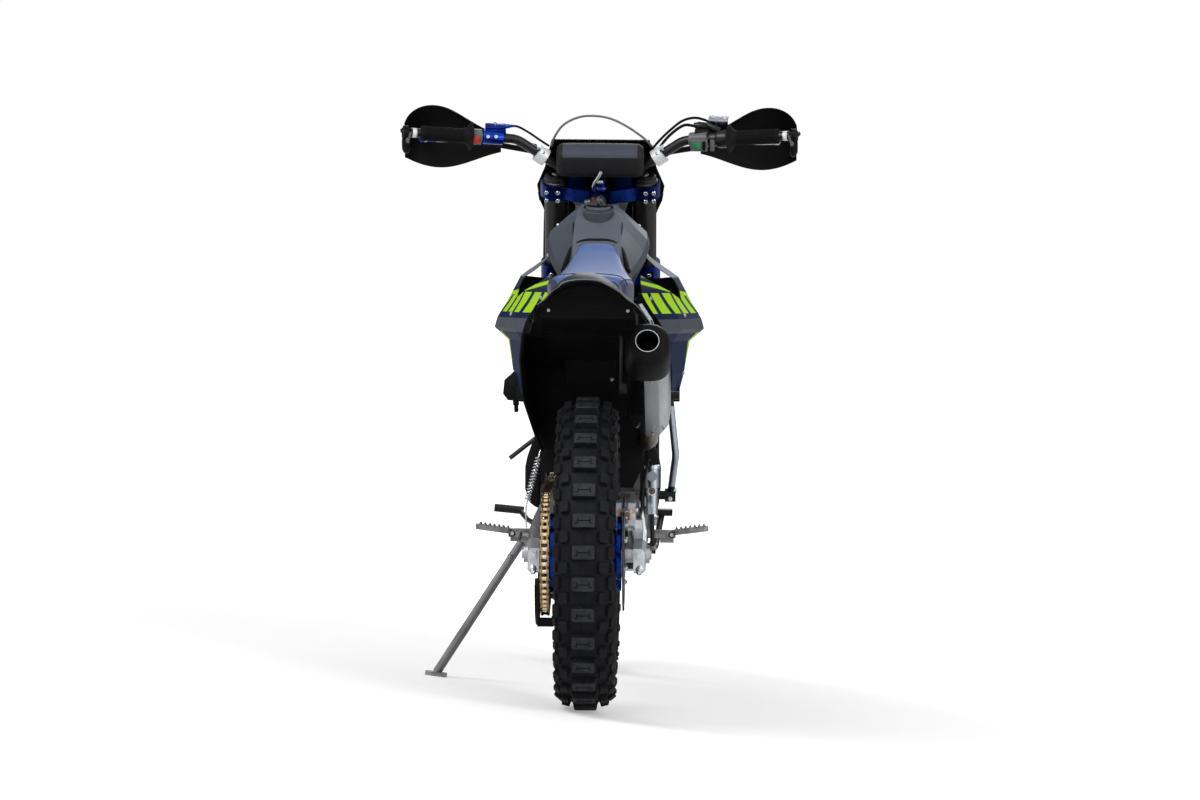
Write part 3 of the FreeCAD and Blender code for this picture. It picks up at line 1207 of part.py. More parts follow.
def build_upright():
    """Every piece in the machine's own frame, by name."""
    parts = {}
    axle = rear_axle()
    arm = swingarm(axle)
    frame = main_frame()
    frame = frame.fuse(stand_bracket(frame))
    loop = chain()
    drive = front_sprocket(loop)
    sub = subframe(frame)
    case = crankcase(frame, drive)
    barrel = cylinder().cut(case)
    can = muffler().cut(sub)
    pipe = exhaust_pipe([can, barrel, case, frame, sub])
    shock = rear_shock().cut(arm).cut(frame)
    cushion = seat([sub, frame])
    fender = rear_fender().cut(cushion).cut(sub)
    wall = inner_fender([sub, frame, shock, pipe, fender, cushion, barrel, can])
    tank = fuel_tank([cushion, frame, sub, wall])
    core = radiator([frame])
    flank = shroud([tank.fuse(mirrored(tank)), core, frame, cushion])
    parts.update({
        "main_frame": frame, "subframe": sub, "swingarm": arm, "rear_axle": axle, "rear_shock": shock,
        "crankcase": case, "cylinder": barrel, "muffler": can, "exhaust_pipe": pipe, "rear_fender": fender,
        "inner_fender": wall, "side_panels": side_panels([can, fender, sub, wall, pipe]), "seat": cushion,
        "fuel_tank": tank, "radiators": pair(core), "shrouds": pair(flank), "skid_plate": skid_plate(),
        "chain": loop, "front_sprocket": drive, "chain_guide": chain_guide(arm),
        "footpegs": pair(footpeg()).cut(frame), "gear_lever": gear_lever().cut(case), "brake_pedal": brake_pedal(frame),
        "kickstarter": kickstarter().cut(case).cut(frame), "rear_caliper": rear_caliper([arm]),
    })
    parts.update(rear_wheel())

    legs = Part.makeCompound([fork_tube(-FORK_X), fork_tube(FORK_X)])
    bar = handlebar()
    yokes = fork_clamps(legs, bar)
    slides = fork_sliders()
    guards = pair(hand_guard(bar))
    mask = headlight_mask([legs, yokes])
    grip_pair = grips(bar)
    controls = hand_controls(bar)
    steer = {
        "fork_tubes": legs, "fork_clamps": yokes, "fork_sliders": slides, "handlebar": bar,
        "fork_guards": pair(fork_guard([slides])), "grips": grip_pair, "bar_pad": bar_pad([bar, yokes]),
        "hand_controls": controls, "hand_guards": guards, "headlight_mask": mask, "headlamp": headlamp(),
        "front_caliper": front_caliper([slides]), "cables": cables([bar, yokes, guards, mask, controls]),
    }
    for name, shape in steer.items():
        parts[name] = steered(shape)
    parts["front_fender"] = front_fender(parts["fork_clamps"])
    parts.update(front_wheel())
    parts["side_stand"] = side_stand()
    return parts


SHIFT = V(163, -715, 0)


def leaning():
    return FreeCAD.Placement(V(0, 0, 0), FreeCAD.Rotation(V(0, 1, 0), -LEAN_DEG))


def to_row(shape):
    """Leans an upright piece onto the stand and moves it over the part's origin."""
    copy = shape.copy()
    copy.Placement = FreeCAD.Placement(SHIFT, FreeCAD.Rotation()).multiply(leaning()).multiply(copy.Placement)
    return copy


def main():
    os.makedirs("parts", exist_ok=True)
    for name, shape in build_upright().items():
        to_row(shape).exportStep("parts/" + name + ".step")


if __name__ == "__main__":
    main()
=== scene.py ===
"""Looks of the dirt bike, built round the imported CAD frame.

Points are written in the machine's own upright frame, in millimetres (x to the rider's right, y forwards
from the rear axle, z up from the floor), and for the steered pieces in the steering frame (x, u, s). UP and
STEER take them to the row frame, in which the machine leans on its side stand.
"""
import bmesh
import bpy
import math
from mathutils import Matrix, Vector


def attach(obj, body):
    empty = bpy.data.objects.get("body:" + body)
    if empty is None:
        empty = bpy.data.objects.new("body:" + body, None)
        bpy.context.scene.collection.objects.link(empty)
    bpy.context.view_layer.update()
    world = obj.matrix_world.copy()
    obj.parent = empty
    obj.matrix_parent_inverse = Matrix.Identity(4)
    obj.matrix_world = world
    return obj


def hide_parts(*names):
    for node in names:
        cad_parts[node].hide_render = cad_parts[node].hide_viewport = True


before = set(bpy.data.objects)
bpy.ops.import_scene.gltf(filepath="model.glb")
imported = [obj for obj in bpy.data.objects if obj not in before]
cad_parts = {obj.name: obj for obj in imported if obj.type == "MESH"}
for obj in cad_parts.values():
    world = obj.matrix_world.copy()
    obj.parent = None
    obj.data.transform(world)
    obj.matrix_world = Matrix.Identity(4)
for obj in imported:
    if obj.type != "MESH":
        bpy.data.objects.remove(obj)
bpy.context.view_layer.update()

# Frames of reference
MM = 0.001
LEAN = math.radians(7.4)
RAKE = math.radians(27.0)
STANDS_AT = (0.163, -0.715, 0.0)
REAR_Z = 336.72
FRONT_Y = 1480.0
FRONT_Z = 347.68
AXLE_OFFSET = 110.0
TILT = Matrix.Translation(STANDS_AT) @ Matrix.Rotation(-LEAN, 4, "Y")
UP = TILT @ Matrix.Scale(MM, 4)
AXLE_U = FRONT_Z * math.sin(RAKE) - AXLE_OFFSET * math.cos(RAKE)
FOOT = Vector((0.0, FRONT_Y - AXLE_U * math.cos(RAKE), FRONT_Z - AXLE_U * math.sin(RAKE)))
STEER = UP @ Matrix.Translation(FOOT) @ Matrix.Rotation(RAKE, 4, "X")
REAR = UP @ Matrix.Translation((0, 0, REAR_Z))
FRONT = UP @ Matrix.Translation((0, FRONT_Y, FRONT_Z))


# Materials

class Nodes:
    """A short way to write the nodes of a material or of the world."""

    def __init__(self, name="", world=None):
        self.mat = world or bpy.data.materials.new(name)
        self.mat.use_nodes = True
        self.tree = self.mat.node_tree
        self.shader = self.tree.nodes["Background" if world else "Principled BSDF"]
        self.coord = self.tree.nodes.new("ShaderNodeTexCoord").outputs
        self.upright = None

    def put(self, socket, value):
        if isinstance(value, bpy.types.NodeSocket):
            self.tree.links.new(value, socket)
        else:
            socket.default_value = (*value, 1.0) if socket.type == "RGBA" else value

    def new(self, kind, inputs=(), **settings):
        node = self.tree.nodes.new(kind)
        for key, value in settings.items():
            setattr(node, key, value)
        for key, value in dict(inputs).items():
            self.put(node.inputs[key], value)
        return node

    def place(self):
        """The point in the upright frame, in metres."""
        if self.upright is None:
            back = TILT.inverted()
            node = self.new("ShaderNodeMapping", {
                "Vector": self.coord["Object"], "Location": back.translation, "Rotation": back.to_euler()})
            self.upright = node.outputs[0]
        return self.upright

    def xyz(self, vector):
        return self.new("ShaderNodeSeparateXYZ", {"Vector": vector}).outputs

    def noise(self, scale, detail=3.0, rough=0.5, stretch=None):
        vector = self.coord["Object"]
        if stretch:
            vector = self.new("ShaderNodeMapping", {"Vector": vector, "Scale": stretch}).outputs[0]
        return self.new("ShaderNodeTexNoise", {"Vector": vector, "Scale": scale, "Detail": detail,
                                               "Roughness": rough}).outputs["Fac"]

    def ramp(self, value, stops):
        node = self.new("ShaderNodeValToRGB", {"Fac": value})
        elements = node.color_ramp.elements
        while len(elements) < len(stops):
            elements.new(0.5)
        for element, (at, colour) in zip(elements, stops):
            element.position = at
            element.color = (*colour, 1.0)
        return node.outputs["Color"]

    def span(self, value, a, b, c=0.0, d=1.0):
        return self.new("ShaderNodeMapRange", {"Value": value, "From Min": a, "From Max": b, "To Min": c,
                                               "To Max": d}).outputs[0]

    def mix(self, share, a, b):
        return self.new("ShaderNodeMix", {0: share, 6: a, 7: b}, data_type="RGBA").outputs[2]

    def blend(self, share, a, b):
        return self.new("ShaderNodeMix", {0: share, 2: a, 3: b}).outputs[0]

    def math(self, kind, *values):
        return self.new("ShaderNodeMath", dict(enumerate(values)), operation=kind).outputs[0]

    def vector_math(self, kind, *values):
        return self.new("ShaderNodeVectorMath", dict(enumerate(values)), operation=kind).outputs["Value"]

    def times(self, a, b):
        return self.math("MULTIPLY", a, b)

    def plus(self, a, b):
        return self.math("ADD", a, b)

    def above(self, value, limit):
        return self.math("GREATER_THAN", value, limit)

    def below(self, value, limit):
        return self.math("LESS_THAN", value, limit)

    def band(self, value, low, high):
        return self.times(self.above(value, low), self.below(value, high))

    def outward(self):
        """1 on faces that look away from the middle plane, 0 on the inner ones."""
        side = self.math("SIGN", self.xyz(self.place())[0])
        return self.span(self.times(self.xyz(self.coord["Normal"])[0], side), 0.02, 0.12)

    def set(self, **values):
        for key, value in values.items():
            self.put(self.shader.inputs[key.replace("_", " ")], value)

    def relief(self, height, strength, depth):
        node = self.new("ShaderNodeBump", {"Height": height, "Strength": strength, "Distance": depth})
        self.set(Normal=node.outputs[0])

    def coat(self, colour, fine, gloss, bump, depth=0.0004, ends=(0.25, 0.75), **more):
        """The finished material: its colour, and gloss and relief from a fine noise."""
        self.set(Base_Color=colour, Roughness=self.span(fine, *ends, *gloss), **more)
        self.relief(fine, bump, depth)
        return self.mat


def shade(colour, share):
    return tuple(min(1.0, c * share) for c in colour)


MATERIALS = {}


def material(name, colour, rough=0.5, metal=0.0, tint=0.12, patch=14.0, grain=700.0, bump=0.1, stretch=None,
             wear=None, dust=0.0, **more):
    """Patches of tone, a fine grain in gloss and relief, rubbed edges and dust near the floor."""
    n = Nodes(name)
    patches = n.noise(patch, 4.0)
    base = n.mix(n.span(patches, 0.3, 0.7), shade(colour, 1 - tint), shade(colour, 1 + tint))
    if wear:
        edge = n.new("ShaderNodeNewGeometry").outputs["Pointiness"]
        base = n.mix(n.times(n.span(edge, 0.53, 0.62), n.span(patches, 0.4, 0.6, 0.2, 0.8)), base, wear)
    if dust:
        low = n.times(n.span(n.xyz(n.coord["Object"])[2], 0.05, 0.6, dust, 0.0), n.noise(60.0, 5.0, 0.7))
        base = n.mix(low, base, (0.32, 0.27, 0.21))
    gloss = (rough * 0.82, min(1.0, rough * 1.15))
    MATERIALS[name] = n.coat(base, n.noise(grain, 2.0, stretch=stretch), gloss, bump, Metallic=metal, **more)


def finishes():
    """The materials that CAD nodes and added pieces share."""
    dull = {"Specular_IOR_Level": 0.1}
    material("black_paint", (0.006, 0.006, 0.007), 0.36, tint=0.3, bump=0.05, wear=(0.05, 0.05, 0.055),
             dust=0.04, Specular_IOR_Level=0.3)
    material("black_plastic", (0.0035, 0.0035, 0.004), 0.5, tint=0.25, grain=1500, bump=0.3, dust=0.03,
             **dull)
    material("black_gloss", (0.004, 0.004, 0.005), 0.3, tint=0.2, grain=1200, bump=0.06,
             Specular_IOR_Level=0.35)
    material("rubber", (0.006, 0.006, 0.0065), 0.68, tint=0.2, grain=1800, bump=0.35, dust=0.05, **dull)
    material("silver_cast", (0.6, 0.63, 0.67), 0.36, 1.0, grain=1100, bump=0.25, wear=(0.8, 0.8, 0.82),
             dust=0.1)
    material("silver_brushed", (0.6, 0.62, 0.65), 0.26, 1.0, 0.1, grain=260, bump=0.2, stretch=(1, 0.08, 1))
    material("steel", (0.45, 0.45, 0.47), 0.3, 1.0, 0.15, grain=500, bump=0.12)
    material("dark_steel", (0.09, 0.09, 0.1), 0.4, 1.0, 0.25, grain=500, bump=0.2)
    material("engine_grey", (0.16, 0.165, 0.175), 0.5, 0.9, 0.2, grain=900, bump=0.5, wear=(0.4, 0.4, 0.4),
             dust=0.12)
    material("engine_dark", (0.03, 0.031, 0.034), 0.5, 0.6, 0.25, grain=900, bump=0.4, wear=(0.2, 0.2, 0.2),
             dust=0.1)
    material("blue_anodised", (0.006, 0.022, 0.15), 0.28, 1.0, 0.4, grain=350, bump=0.06)
    material("blue_bright", (0.01, 0.045, 0.34), 0.25, 1.0, 0.35, grain=350, bump=0.06)
    material("gold", (0.62, 0.42, 0.19), 0.3, 1.0, 0.25, 60, 500, 0.12, wear=(0.2, 0.14, 0.08))
    material("pipe_metal", (0.17, 0.135, 0.11), 0.36, 1.0, 0.35, 22, 500, 0.15)
    material("pad_metal", (0.6, 0.36, 0.22), 0.36, 1.0, 0.25, 60, 500, 0.15)
    # A painted highlight for the rolled bead at the fender's tail.
    material("tail_bead_highlight", (0.1, 0.125, 0.16), 0.34, grain=1300, bump=0.08)
    # A painted highlight: the lighter navy of the seat's rear piping.
    material("piping_painted_highlight", (0.1, 0.15, 0.28), 0.4, grain=1300)
    material("stand_grey", (0.16, 0.165, 0.17), 0.42, 0.7, 0.2, bump=0.2, wear=(0.4, 0.4, 0.4), dust=0.15)
    material("peg_grey", (0.15, 0.147, 0.143), 0.5, 0.6, 0.25, 50, 900, 0.35, wear=(0.3, 0.3, 0.3), dust=0.2)
    material("red_plastic", (0.6, 0.02, 0.012), 0.35, tint=0.1, bump=0.05)
    material("green_plastic", (0.01, 0.22, 0.06), 0.35, tint=0.1, bump=0.05)
    material("rim_blue", (0.004, 0.02, 0.24), 0.24, 1.0, 0.25, grain=350, bump=0.06, dust=0.06)
    material("lens", (0.75, 0.78, 0.8), 0.08, tint=0.03, grain=200, bump=0.3, Transmission_Weight=0.6,
             IOR=1.49)
    # Painted shade for the tyres' sipes.
    material("sipe_painted_shade", (0.0015, 0.0015, 0.002), 0.8, tint=0.3, grain=1500, bump=0.3, **dull)
    material("roller_gold", (0.78, 0.63, 0.42), 0.24, 1.0, 0.2, grain=600)
    material("grip_black", (0.007, 0.007, 0.008), 0.72, tint=0.2, grain=1600, bump=0.4, **dull)
    material("white_metal", (0.72, 0.74, 0.75), 0.3, 0.2, 0.06, bump=0.08)
    material("switch_grey", (0.12, 0.12, 0.13), 0.45, tint=0.15, grain=1400, bump=0.3)
    material("hose_blue", (0.02, 0.07, 0.42), 0.45, tint=0.15, grain=900, bump=0.2)
    material("seam_navy", (0.012, 0.018, 0.05), 0.6, tint=0.2, grain=2200, bump=0.6)
    material("cable_grey", (0.14, 0.14, 0.14), 0.4, grain=900, bump=0.2)
    material("radiator_black", (0.008, 0.008, 0.009), 0.5, tint=0.25, grain=900, bump=0.3, **dull)


def finish_of(mat):
    return MATERIALS[mat] if isinstance(mat, str) else mat


def put_on(names, mat):
    """Gives CAD nodes a material."""
    for name in names.split():
        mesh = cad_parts[name].data
        mesh.materials.clear()
        mesh.materials.append(finish_of(mat))


# Mesh pieces: a part is a list of points and a list of faces

def piece(name, parts, mat, body="chassis", matrix=UP, angle=35.0, bevel=0.0, subdiv=0, replaces=(),
          slot=None):
    """An object from one part or a list of them in a millimetre frame, riding on a body."""
    verts, faces = joined(parts) if isinstance(parts, list) else parts
    mesh = bpy.data.meshes.new(name)
    mesh.from_pydata([matrix @ Vector(v) for v in verts], [], faces)
    mesh.validate()
    mesh.materials.append(finish_of(mat))
    bm = bmesh.new()
    bm.from_mesh(mesh)
    bmesh.ops.recalc_face_normals(bm, faces=bm.faces)
    bm.to_mesh(mesh)
    bm.free()
    obj = bpy.data.objects.new(name, mesh)
    bpy.context.scene.collection.objects.link(obj)
    if bevel:
        mod = obj.modifiers.new("bevel", "BEVEL")
        mod.width = bevel * MM
        mod.segments = 2
        mod.limit_method = "ANGLE"
        mod.angle_limit = math.radians(40)
    if subdiv:
        mod = obj.modifiers.new("subdiv", "SUBSURF")
        mod.levels = mod.render_levels = subdiv
    if bevel or subdiv:
        obj.data = bpy.data.meshes.new_from_object(obj.evaluated_get(bpy.context.evaluated_depsgraph_get()))
        obj.modifiers.clear()
        bpy.data.meshes.remove(mesh)
        obj.data.name = name
    obj.data.shade_smooth()
    obj.data.set_sharp_from_angle(angle=math.radians(angle))
    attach(obj, body)
    if replaces:
        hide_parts(*replaces)
    return obj


def steered(name, parts, mat, **more):
    """A piece in the steering frame that turns with the handlebar."""
    return piece(name, parts, mat, "steering", STEER, **more)


def sided(name, parts, mat, sign, **more):
    """A steered piece of the right side, or its mirror image on the left."""
    steered(name, parts if sign > 0 else flipped(joined(parts)), mat, **more)


def joined(parts):
    verts, faces = [], []
    for v, f in parts:
        base = len(verts)
        verts += list(v)
        faces += [tuple(i + base for i in face) for face in f]
    return verts, faces


def flipped(part):
    """The mirror image across the middle plane."""
    return [Vector((-v[0], v[1], v[2])) for v in part[0]], [tuple(reversed(f)) for f in part[1]]


def both(parts):
    return parts + [flipped(part) for part in parts]


def turns(count):
    """Angles once round a circle."""
    return [2 * math.pi * k / count for k in range(count)]


def loft(loops, closed=False):
    """Skin through loops of points with the same count, capped at its ends or closed into a ring."""
    rows, cols = len(loops), len(loops[0])
    verts = [Vector(p) for loop in loops for p in loop]
    faces = []
    for i in range(rows if closed else rows - 1):
        for j in range(cols):
            k, m = (i + 1) % rows, (j + 1) % cols
            faces.append((i * cols + j, i * cols + m, k * cols + m, k * cols + j))
    if not closed:
        faces += [tuple(range(cols)), tuple(range(len(verts) - cols, len(verts)))]
    return verts, faces


def across(direction):
    """Two unit vectors square to a direction."""
    d = Vector(direction).normalized()
    a = d.cross(Vector((0, 0, 1)) if abs(d.z) < 0.9 else Vector((0, 1, 0))).normalized()
    return a, d.cross(a).normalized()


def turned(profile, start, direction, sides):
    """Circles round an axis: profile holds (distance along the axis, radius)."""
    d = Vector(direction).normalized()
    a, b = across(d)
    return [[Vector(start) + d * along + (a * math.cos(t) + b * math.sin(t)) * max(radius, 0.01)
             for t in turns(sides)] for along, radius in profile]


def lathe(profile, start, direction, sides=24):
    """A solid turned part."""
    return loft(turned(profile, start, direction, sides))


def hoop(profile, start, direction, sides=32):
    """A turned ring: the profile is a closed loop, so the middle stays open."""
    return loft(list(zip(*turned(profile, start, direction, sides))), closed=True)


def tangents(pts):
    """The direction of a line of points at each of them."""
    last = len(pts) - 1
    return [(pts[min(i + 1, last)] - pts[max(i - 1, 0)]).normalized() for i in range(last + 1)]


def sweep(points, radius, sides=10):
    """A round tube through points."""
    pts = [Vector(p) for p in points]
    heading = tangents(pts)
    a = across(heading[0])[0]
    loops = []
    for p, t in zip(pts, heading):
        a = (a - t * a.dot(t)).normalized()
        b = t.cross(a)
        loops.append([p + (a * math.cos(k) + b * math.sin(k)) * radius for k in turns(sides)])
    return loft(loops)


def curve(points, steps):
    """A smooth line through points (Catmull-Rom)."""
    pts = [Vector(p) for p in points]
    pts = [pts[0] * 2 - pts[1]] + pts + [pts[-1] * 2 - pts[-2]]
    out = []
    for i in range(1, len(pts) - 2):
        p0, p1, p2, p3 = pts[i - 1:i + 3]
        for k in range(steps):
            t = k / steps
            out.append(0.5 * (2 * p1 + (p2 - p0) * t + (2 * p0 - 5 * p1 + 4 * p2 - p3) * t * t
                              + (3 * p1 - p0 - 3 * p2 + p3) * t ** 3))
    return out + [pts[-2]]


def prism(outline, axis, low, high):
    """A flat outline extruded along x, y or z; the outline's pairs are the other two coordinates."""
    k = "xyz".index(axis)
    return loft([[(*p[:k], at, *p[k:]) for p in outline] for at in (low, high)])


def block(x0, x1, y0, y1, z0, z1):
    """A plain box."""
    return prism([(y0, z0), (y1, z0), (y1, z1), (y0, z1)], "x", x0, x1)


def hex_bolt(at, direction, size, washer=True):
    """A flanged hexagon head, seen from along direction."""
    head = lathe([(0, size * 0.86), (size * 0.8, size * 0.86), (size, size * 0.7)], at, direction, 6)
    flange = lathe([(-1, size * 1.15), (1.2, size * 1.15), (1.8, size * 1.0)], at, direction, 16)
    return joined([flange, head]) if washer else head


def cap_bolt(at, direction, size):
    """A turned cap with a sunk socket."""
    return lathe([(-1, size), (size * 0.9, size), (size * 1.05, size * 0.88), (size * 1.05, size * 0.52),
                  (size * 0.5, size * 0.5)], at, direction, 12)


def coil(start, end, radius, wire, count, sides, steps):
    """A spring between two points, with a number of steps to each of its turns."""
    start, end = Vector(start), Vector(end)
    a, b = across(end - start)
    total = count * steps
    pts = []
    for k in range(total + 1):
        w = 2 * math.pi * count * k / total
        pts.append(start + (end - start) * (k / total) + (a * math.cos(w) + b * math.sin(w)) * radius)
    return sweep(pts, wire, sides)


# Camera, floor and light

LENS = 197.4
SENSOR = 36.0
CAMERA_AT = (0.322, -14.0, 0.979)
CAMERA_AHEAD = (-0.0212, 1.0, -0.0225)
CAMERA_ROLL = math.radians(0.5)
FLOOR_HALF = 120.0
LAMPS_AIM = Vector((0, 0, 0.6))


def view():
    """The photograph's camera, placed in the upright machine's frame."""
    cam = bpy.data.cameras.new("camera")
    cam.lens = LENS
    cam.sensor_width = SENSOR
    cam.clip_end = 200.0
    obj = bpy.data.objects.new("camera", cam)
    bpy.context.scene.collection.objects.link(obj)
    back = -Vector(CAMERA_AHEAD).normalized()
    right = Vector((-math.sin(CAMERA_ROLL), 0, math.cos(CAMERA_ROLL))).cross(back).normalized()
    turn = Matrix((right, back.cross(right), back)).transposed().to_4x4()
    obj.matrix_world = TILT @ Matrix.Translation(CAMERA_AT) @ turn
    bpy.context.scene.camera = obj


def shown_light(n, seen, lit, mirrored):
    """A strength that differs for what the camera and glass see, for light and for mirrored rays."""
    path = n.new("ShaderNodeLightPath").outputs
    direct = n.math("MAXIMUM", path["Is Camera Ray"], path["Is Transmission Ray"])
    return n.blend(direct, n.blend(path["Is Glossy Ray"], lit, mirrored), seen)


def studio():
    """A white room that lights the bike softly, its floor and three lamps."""
    scene = bpy.context.scene
    scene.view_settings.view_transform = "Standard"
    scene.world = bpy.data.worlds.new("studio")
    n = Nodes(world=scene.world)
    ahead = n.xyz(n.coord["Generated"])[1]
    n.set(Color=(1, 1, 1), Strength=shown_light(n, 1.0, 0.42, n.span(ahead, -0.2, 0.7, 1.0, 0.08)))

    n = Nodes("floor")
    away = n.vector_math("LENGTH", n.coord["Object"])
    glow = n.times(n.span(away, 1.3, 4.2, 0.3, 1.0), shown_light(n, 1.0, 0.0, 0.22))
    n.set(Base_Color=n.mix(n.noise(9.0, 4.0), (0.76, 0.76, 0.76), (0.8, 0.8, 0.8)), Roughness=0.9,
          Specular_IOR_Level=0.0, Emission_Color=(1, 1, 1), Emission_Strength=glow)
    mesh = bpy.data.meshes.new("floor")
    corners = [(x * FLOOR_HALF, y * FLOOR_HALF, 0) for x, y in ((-1, -1), (1, -1), (1, 1), (-1, 1))]
    mesh.from_pydata(corners, [], [(0, 1, 2, 3)])
    mesh.materials.append(n.mat)
    floor = bpy.data.objects.new("floor", mesh)
    scene.collection.objects.link(floor)

    for name, at, size, power in (("key", (-3.2, -4.0, 4.4), 3.0, 210.0),
                                  ("fill", (3.6, -3.2, 2.6), 3.2, 90.0),
                                  ("front", (0.6, 4.6, 3.4), 3.0, 110.0)):
        lamp = bpy.data.lights.new(name, "AREA")
        lamp.size = size
        lamp.energy = power
        obj = bpy.data.objects.new(name, lamp)
        scene.collection.objects.link(obj)
        obj.location = at
        obj.rotation_euler = (LAMPS_AIM - Vector(at)).to_track_quat("-Z", "Y").to_euler()


def dress_nodes():
    """The CAD nodes that keep their own shape."""
    for mat, names in (
            ("black_paint", "main_frame subframe gear_lever"),
            ("silver_cast", "skid_plate swingarm rear_caliper"),
            ("steel", "rear_axle fork_sliders"), ("silver_brushed", "rear_shock"), ("gold", "chain"),
            ("engine_grey", "crankcase"), ("engine_dark", "cylinder"), ("pipe_metal", "exhaust_pipe"),
            ("radiator_black", "radiators"),
            ("black_plastic", "seat chain_guide fork_guards cables hand_guards headlight_mask"),
            ("dark_steel", "front_sprocket rear_disc front_disc rear_sprocket front_caliper"),
            ("rubber", "rear_tyre front_tyre grips"), ("rim_blue", "rear_rim front_rim"),
            ("blue_anodised", "rear_hub front_hub fork_clamps"), ("lens", "headlamp"),
            ("black_gloss", "fork_tubes handlebar hand_controls"), ("stand_grey", "side_stand")):
        put_on(names, mat)


# Wheels, in their own frames

SPOKES = 18


def on_wheel(x, r, a):
    """A point of a wheel's own frame; the angle runs from the floor."""
    return Vector((x, r * math.sin(a), -r * math.cos(a)))


def tread_block(x0, r0, phi, angle, width, length, height, skew):
    """One rubber block that stands square to the tyre's section, with its corners and top edge cut."""
    up, out = math.cos(phi), math.sin(phi)
    cut = 2.2
    w, h = width / 2, length / 2
    ring = [(-w + cut, -h), (w - cut, -h), (w, -h + cut), (w, h - cut), (w - cut, h), (-w + cut, h),
            (-w, h - cut), (-w, -h + cut)]
    levels = ((-5.0, 1.22), (height * 0.2, 1.08), (height - 1.4, 1.0), (height, 0.92))
    return loft([[on_wheel(x0 + up * u * grow + out * level, r0 - out * u * grow + up * level,
                           angle + (c + skew * u) * grow / r0) for u, c in ring] for level, grow in levels])


def tyre(name, matrix, body, node, radius, rows, section, blocks, sipes):
    """The carcass, turned from its section, and the rows of blocks on it."""
    ring = section + [(-x, r) for x, r in reversed(section) if x > 0.01]
    parts = [loft([[on_wheel(x, r, a) for x, r in ring] for a in turns(180)], closed=True)]
    cuts = []
    step = 2 * math.pi / rows
    for k in range(rows):
        for x, drop, phi, width, length, height, offset, skew in blocks:
            tilt = math.radians(phi)
            foot_x, foot_r = x - height * math.sin(tilt), radius - drop - height * math.cos(tilt)
            for sign in ((1, -1) if x else (1,)):
                parts.append(tread_block(sign * foot_x, foot_r, sign * tilt, (k + offset) * step, width,
                                         length, height, sign * skew))
        for x0, x1, y0, y1, drop, offset in sipes:
            corners = ((x0, y0), (x1, y0), (x1, y1), (x0, y1))
            cuts.append(loft([[on_wheel(x, radius - drop + lift, (k + offset) * step + y / radius)
                               for x, y in corners] for lift in (-1.5, 0.35)]))
    piece(name, parts, tyre_rubber(name, matrix, radius), body, matrix, angle=28, replaces=(node,), slot=node)
    # The sipes: thin near-black bars on the block tops, painted shade for the cuts in the rubber.
    piece(name + "_sipes", cuts, "sipe_painted_shade", body, matrix)


def tyre_rubber(name, matrix, radius):
    """Black rubber whose worn lug faces, the ones furthest from the axle, are greyer."""
    n = Nodes(name)
    centre = UP.inverted() @ matrix.translation
    squares = [n.math("POWER", n.math("SUBTRACT", n.xyz(n.place())[k], centre[k] * MM), 2.0) for k in (1, 2)]
    reach = n.math("SQRT", n.plus(*squares))
    grain = n.noise(1500.0)
    smear = n.noise(55.0, 5.0, 0.65)
    worn = n.times(n.span(reach, (radius - 2.6) * MM, (radius - 0.6) * MM),
                   n.span(smear, 0.35, 0.62, 0.45, 1.0))
    shoulder = n.span(reach, (radius - 24) * MM, (radius - 6) * MM)
    base = n.mix(n.noise(24.0, 4.0), (0.0035, 0.0037, 0.0045), (0.0075, 0.008, 0.0095))
    base = n.mix(n.times(shoulder, n.span(smear, 0.4, 0.65, 0.0, 0.7)), base, (0.014, 0.015, 0.018))
    base = n.mix(worn, base, (0.033, 0.034, 0.037))
    n.set(Base_Color=base, Roughness=n.span(grain, 0.25, 0.75, 0.5, 0.72), Specular_IOR_Level=0.12)
    n.relief(n.plus(grain, n.times(smear, 0.6)), 0.5, 0.0006)
    return n.mat


def tyres():
    """Sections as (x, radius), blocks as tread_block's measures and sipes as boxes on the tread."""
    section = [(27.5, 222), (28, 237), (40, 243), (53, 256), (60, 274), (61, 290), (54, 304), (40, 313),
               (22, 318), (2.2, 319.2), (1.8, 320.6), (0, 320.6)]
    blocks = [(0, 0, 0, 47, 28, 15, 0, 0), (42, 10, 14, 17, 23, 14, 0.5, 0.1),
              (59, 25, 38, 17, 25, 13, 0.0, -0.12), (62, 34, 62, 12, 20, 9, 0.5, 0.0)]
    sipes = [(-12, 12, -0.9, 0.9, 0, 0), (-13.6, -12, -6, 6, 0, 0), (12, 13.6, -6, 6, 0, 0),
             (-18, -13, 5, 6.4, 0, 0), (13, 18, 5, 6.4, 0, 0), (-0.8, 0.8, -29, -17, 14.6, 0.5),
             (-0.8, 0.8, 17, 29, 14.6, 0.5)]
    tyre("rear_tyre_rubber", REAR, "rear_wheel", "rear_tyre", 334.0, 31, section, blocks, sipes)
    section = [(18.5, 262), (19, 277), (28, 282), (37, 292), (41, 306), (39, 318), (30, 327), (15, 331),
               (0, 331.5)]
    blocks = [(10.5, 0.6, 3, 16, 22, 14, 0.0, 0.0), (26, 5.5, 16, 15, 22, 13, 0.5, 0.12),
              (38.5, 15, 44, 14, 24, 11, 0.0, -0.1)]
    sipes = [(5, 16, -0.8, 0.8, 0.6, 0), (-16, -5, -0.8, 0.8, 0.6, 0)]
    tyre("front_tyre_rubber", FRONT, "front_wheel", "front_tyre", 346.0, 30, section, blocks, sipes)


